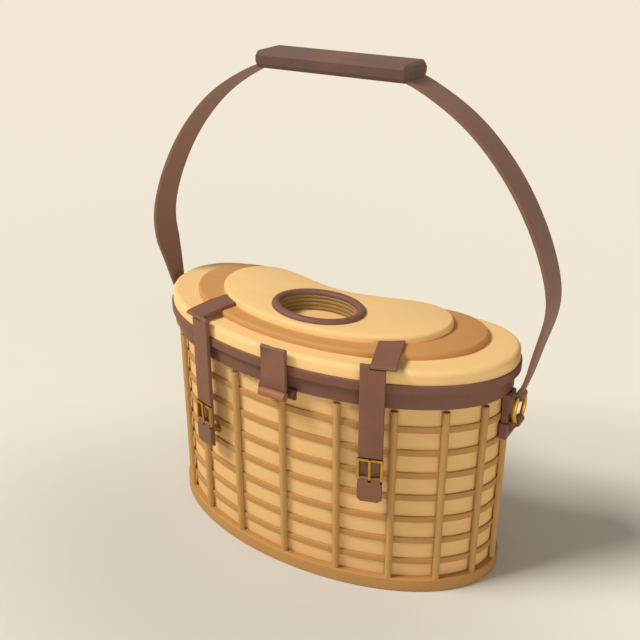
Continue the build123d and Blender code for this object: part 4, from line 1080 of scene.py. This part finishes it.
def sun_lamp(name, round_angle, height_angle, strength, softness):
    """Far lamp. It stands at an angle round the creel and a height, in degrees."""
    light = bpy.data.lights.new(name, "SUN")
    light.energy = strength
    light.angle = math.radians(softness)
    lamp = bpy.data.objects.new(name, light)
    turn, rise = math.radians(round_angle), math.radians(height_angle)
    place = Vector((math.cos(turn) * math.cos(rise), math.sin(turn) * math.cos(rise), math.sin(rise)))
    lamp.location = place * 2.0
    lamp.rotation_euler = place.to_track_quat("Z", "Y").to_euler()
    bpy.context.scene.collection.objects.link(lamp)
    return lamp


def floor_material(settings):
    """Pale floor with painted shade round the creel's foot, deepest in front of it, that fades into the backdrop
    far away.
    """
    material, tree, shader = new_material("floor")
    shader.inputs["Roughness"].default_value = 0.9
    place = tree.node("ShaderNodeTexCoord").outputs["Object"]

    def distance(centre, squeeze=1.0):
        """Distance from a place on the floor, counted shorter along the creel's length."""
        squeezed = tree.vector("MULTIPLY", place, (1 / squeeze, 1.0, 1.0))
        away = tree.node("ShaderNodeVectorMath", operation="DISTANCE")
        tree.join(squeezed, away.inputs[0])
        away.inputs[1].default_value = (centre[0] / squeeze, centre[1], 0.0)
        return away.outputs["Value"]

    # painted shade: the floor darkens towards a place just in front of the creel, as if shaded by it
    tone = tree.spread(distance((-0.03, -0.12), 1.5), 0.06, 0.31)
    tree.join(tree.mix(tone, opaque(settings.shaded_floor_colour), opaque(settings.far_floor_colour)),
              shader.inputs["Base Color"])
    glow = tree.node("ShaderNodeEmission")
    glow.inputs["Color"].default_value = opaque(settings.backdrop_colour)
    blend = tree.node("ShaderNodeMixShader")
    tree.join(tree.spread(distance((0.0, 0.0)), 0.7, 2.2), blend.inputs[0])
    tree.join(shader.outputs[0], blend.inputs[1])
    tree.join(glow.outputs[0], blend.inputs[2])
    tree.join(blend.outputs[0], material.node_tree.nodes["Material Output"].inputs["Surface"])
    return material


def backdrop_world(settings):
    """Backdrop colour where the camera or a reflection sees it, and soft room light elsewhere."""
    world = bpy.data.worlds.new("studio")
    world.use_nodes = True
    tree = Tree(world.node_tree)
    nodes = world.node_tree.nodes
    room = nodes["Background"]
    room.inputs["Color"].default_value = (1.0, 0.985, 0.96, 1.0)
    room.inputs["Strength"].default_value = settings.room_strength
    seen = tree.node("ShaderNodeBackground")
    seen.inputs["Color"].default_value = opaque(settings.backdrop_colour)
    path = tree.node("ShaderNodeLightPath")
    sight = tree.maths("MAXIMUM", path.outputs["Is Camera Ray"], path.outputs["Is Glossy Ray"])
    sight = tree.maths("MAXIMUM", sight, path.outputs["Is Transmission Ray"])
    blend = tree.node("ShaderNodeMixShader")
    tree.join(sight, blend.inputs[0])
    tree.join(room.outputs[0], blend.inputs[1])
    tree.join(seen.outputs[0], blend.inputs[2])
    tree.join(blend.outputs[0], nodes["World Output"].inputs["Surface"])
    return world


class CREEL_OT_stage(bpy.types.Operator):
    """Lay the floor and set the lamps, the backdrop and the camera"""

    bl_idname = "creel.stage"
    bl_label = "Stage"

    def execute(self, context):
        scene = context.scene
        settings = stage_settings()
        scene.view_settings.view_transform = "Standard"
        scene.world = backdrop_world(settings)
        bm = bmesh.new()
        bmesh.ops.create_grid(bm, x_segments=2, y_segments=2, size=12.0)
        floor = mesh_object("floor", bm)
        floor.data.materials.append(floor_material(settings))

        sun_lamp("key", 221.0, 48.5, settings.key_strength, 20.0)
        sun_lamp("side", 320.0, 10.0, settings.side_strength, 40.0)

        lens = bpy.data.cameras.new("camera")
        lens.sensor_width = 36.0
        lens.lens = 51.13
        camera = bpy.data.objects.new("camera", lens)
        camera.location = (0.3897, -0.6676, 0.5875)
        camera.rotation_euler = (math.radians(90 - 25.51), 0, math.radians(31.42))
        scene.collection.objects.link(camera)
        scene.camera = camera
        return {"FINISHED"}


class CREEL_PT_panel(bpy.types.Panel):
    """Buttons that build the creel, one for each group of pieces"""

    bl_idname = "CREEL_PT_panel"
    bl_label = "Creel"
    bl_space_type = "VIEW_3D"
    bl_region_type = "UI"
    bl_category = "Creel"

    def draw(self, context):
        for operator in OPERATORS:
            self.layout.operator(operator.bl_idname)


GROUPS = {"creel_plan": CreelPlan, "creel_cane": CreelCane, "creel_leather": CreelLeather,
          "creel_fittings": CreelFittings, "creel_stage": CreelStage}
OPERATORS = (CREEL_OT_finishes, CREEL_OT_wall, CREEL_OT_weave, CREEL_OT_lid, CREEL_OT_fish_hole,
             CREEL_OT_closing_straps, CREEL_OT_latch, CREEL_OT_handle, CREEL_OT_lid_hinges, CREEL_OT_stage)


def register():
    for name, group in GROUPS.items():
        bpy.utils.register_class(group)
        setattr(bpy.types.Scene, name, PointerProperty(type=group))
    for operator in OPERATORS:
        bpy.utils.register_class(operator)
    bpy.utils.register_class(CREEL_PT_panel)


def unregister():
    bpy.utils.unregister_class(CREEL_PT_panel)
    for operator in reversed(OPERATORS):
        bpy.utils.unregister_class(operator)
    for name, group in reversed(list(GROUPS.items())):
        delattr(bpy.types.Scene, name)
        bpy.utils.unregister_class(group)


def main():
    register()
    bpy.ops.creel.finishes()
    bpy.ops.creel.wall()
    bpy.ops.creel.weave()
    bpy.ops.creel.lid()
    bpy.ops.creel.fish_hole()
    bpy.ops.creel.closing_straps()
    bpy.ops.creel.latch()
    bpy.ops.creel.handle()
    bpy.ops.creel.lid_hinges()
    bpy.ops.creel.stage()


if __name__ == "__main__":
    main()
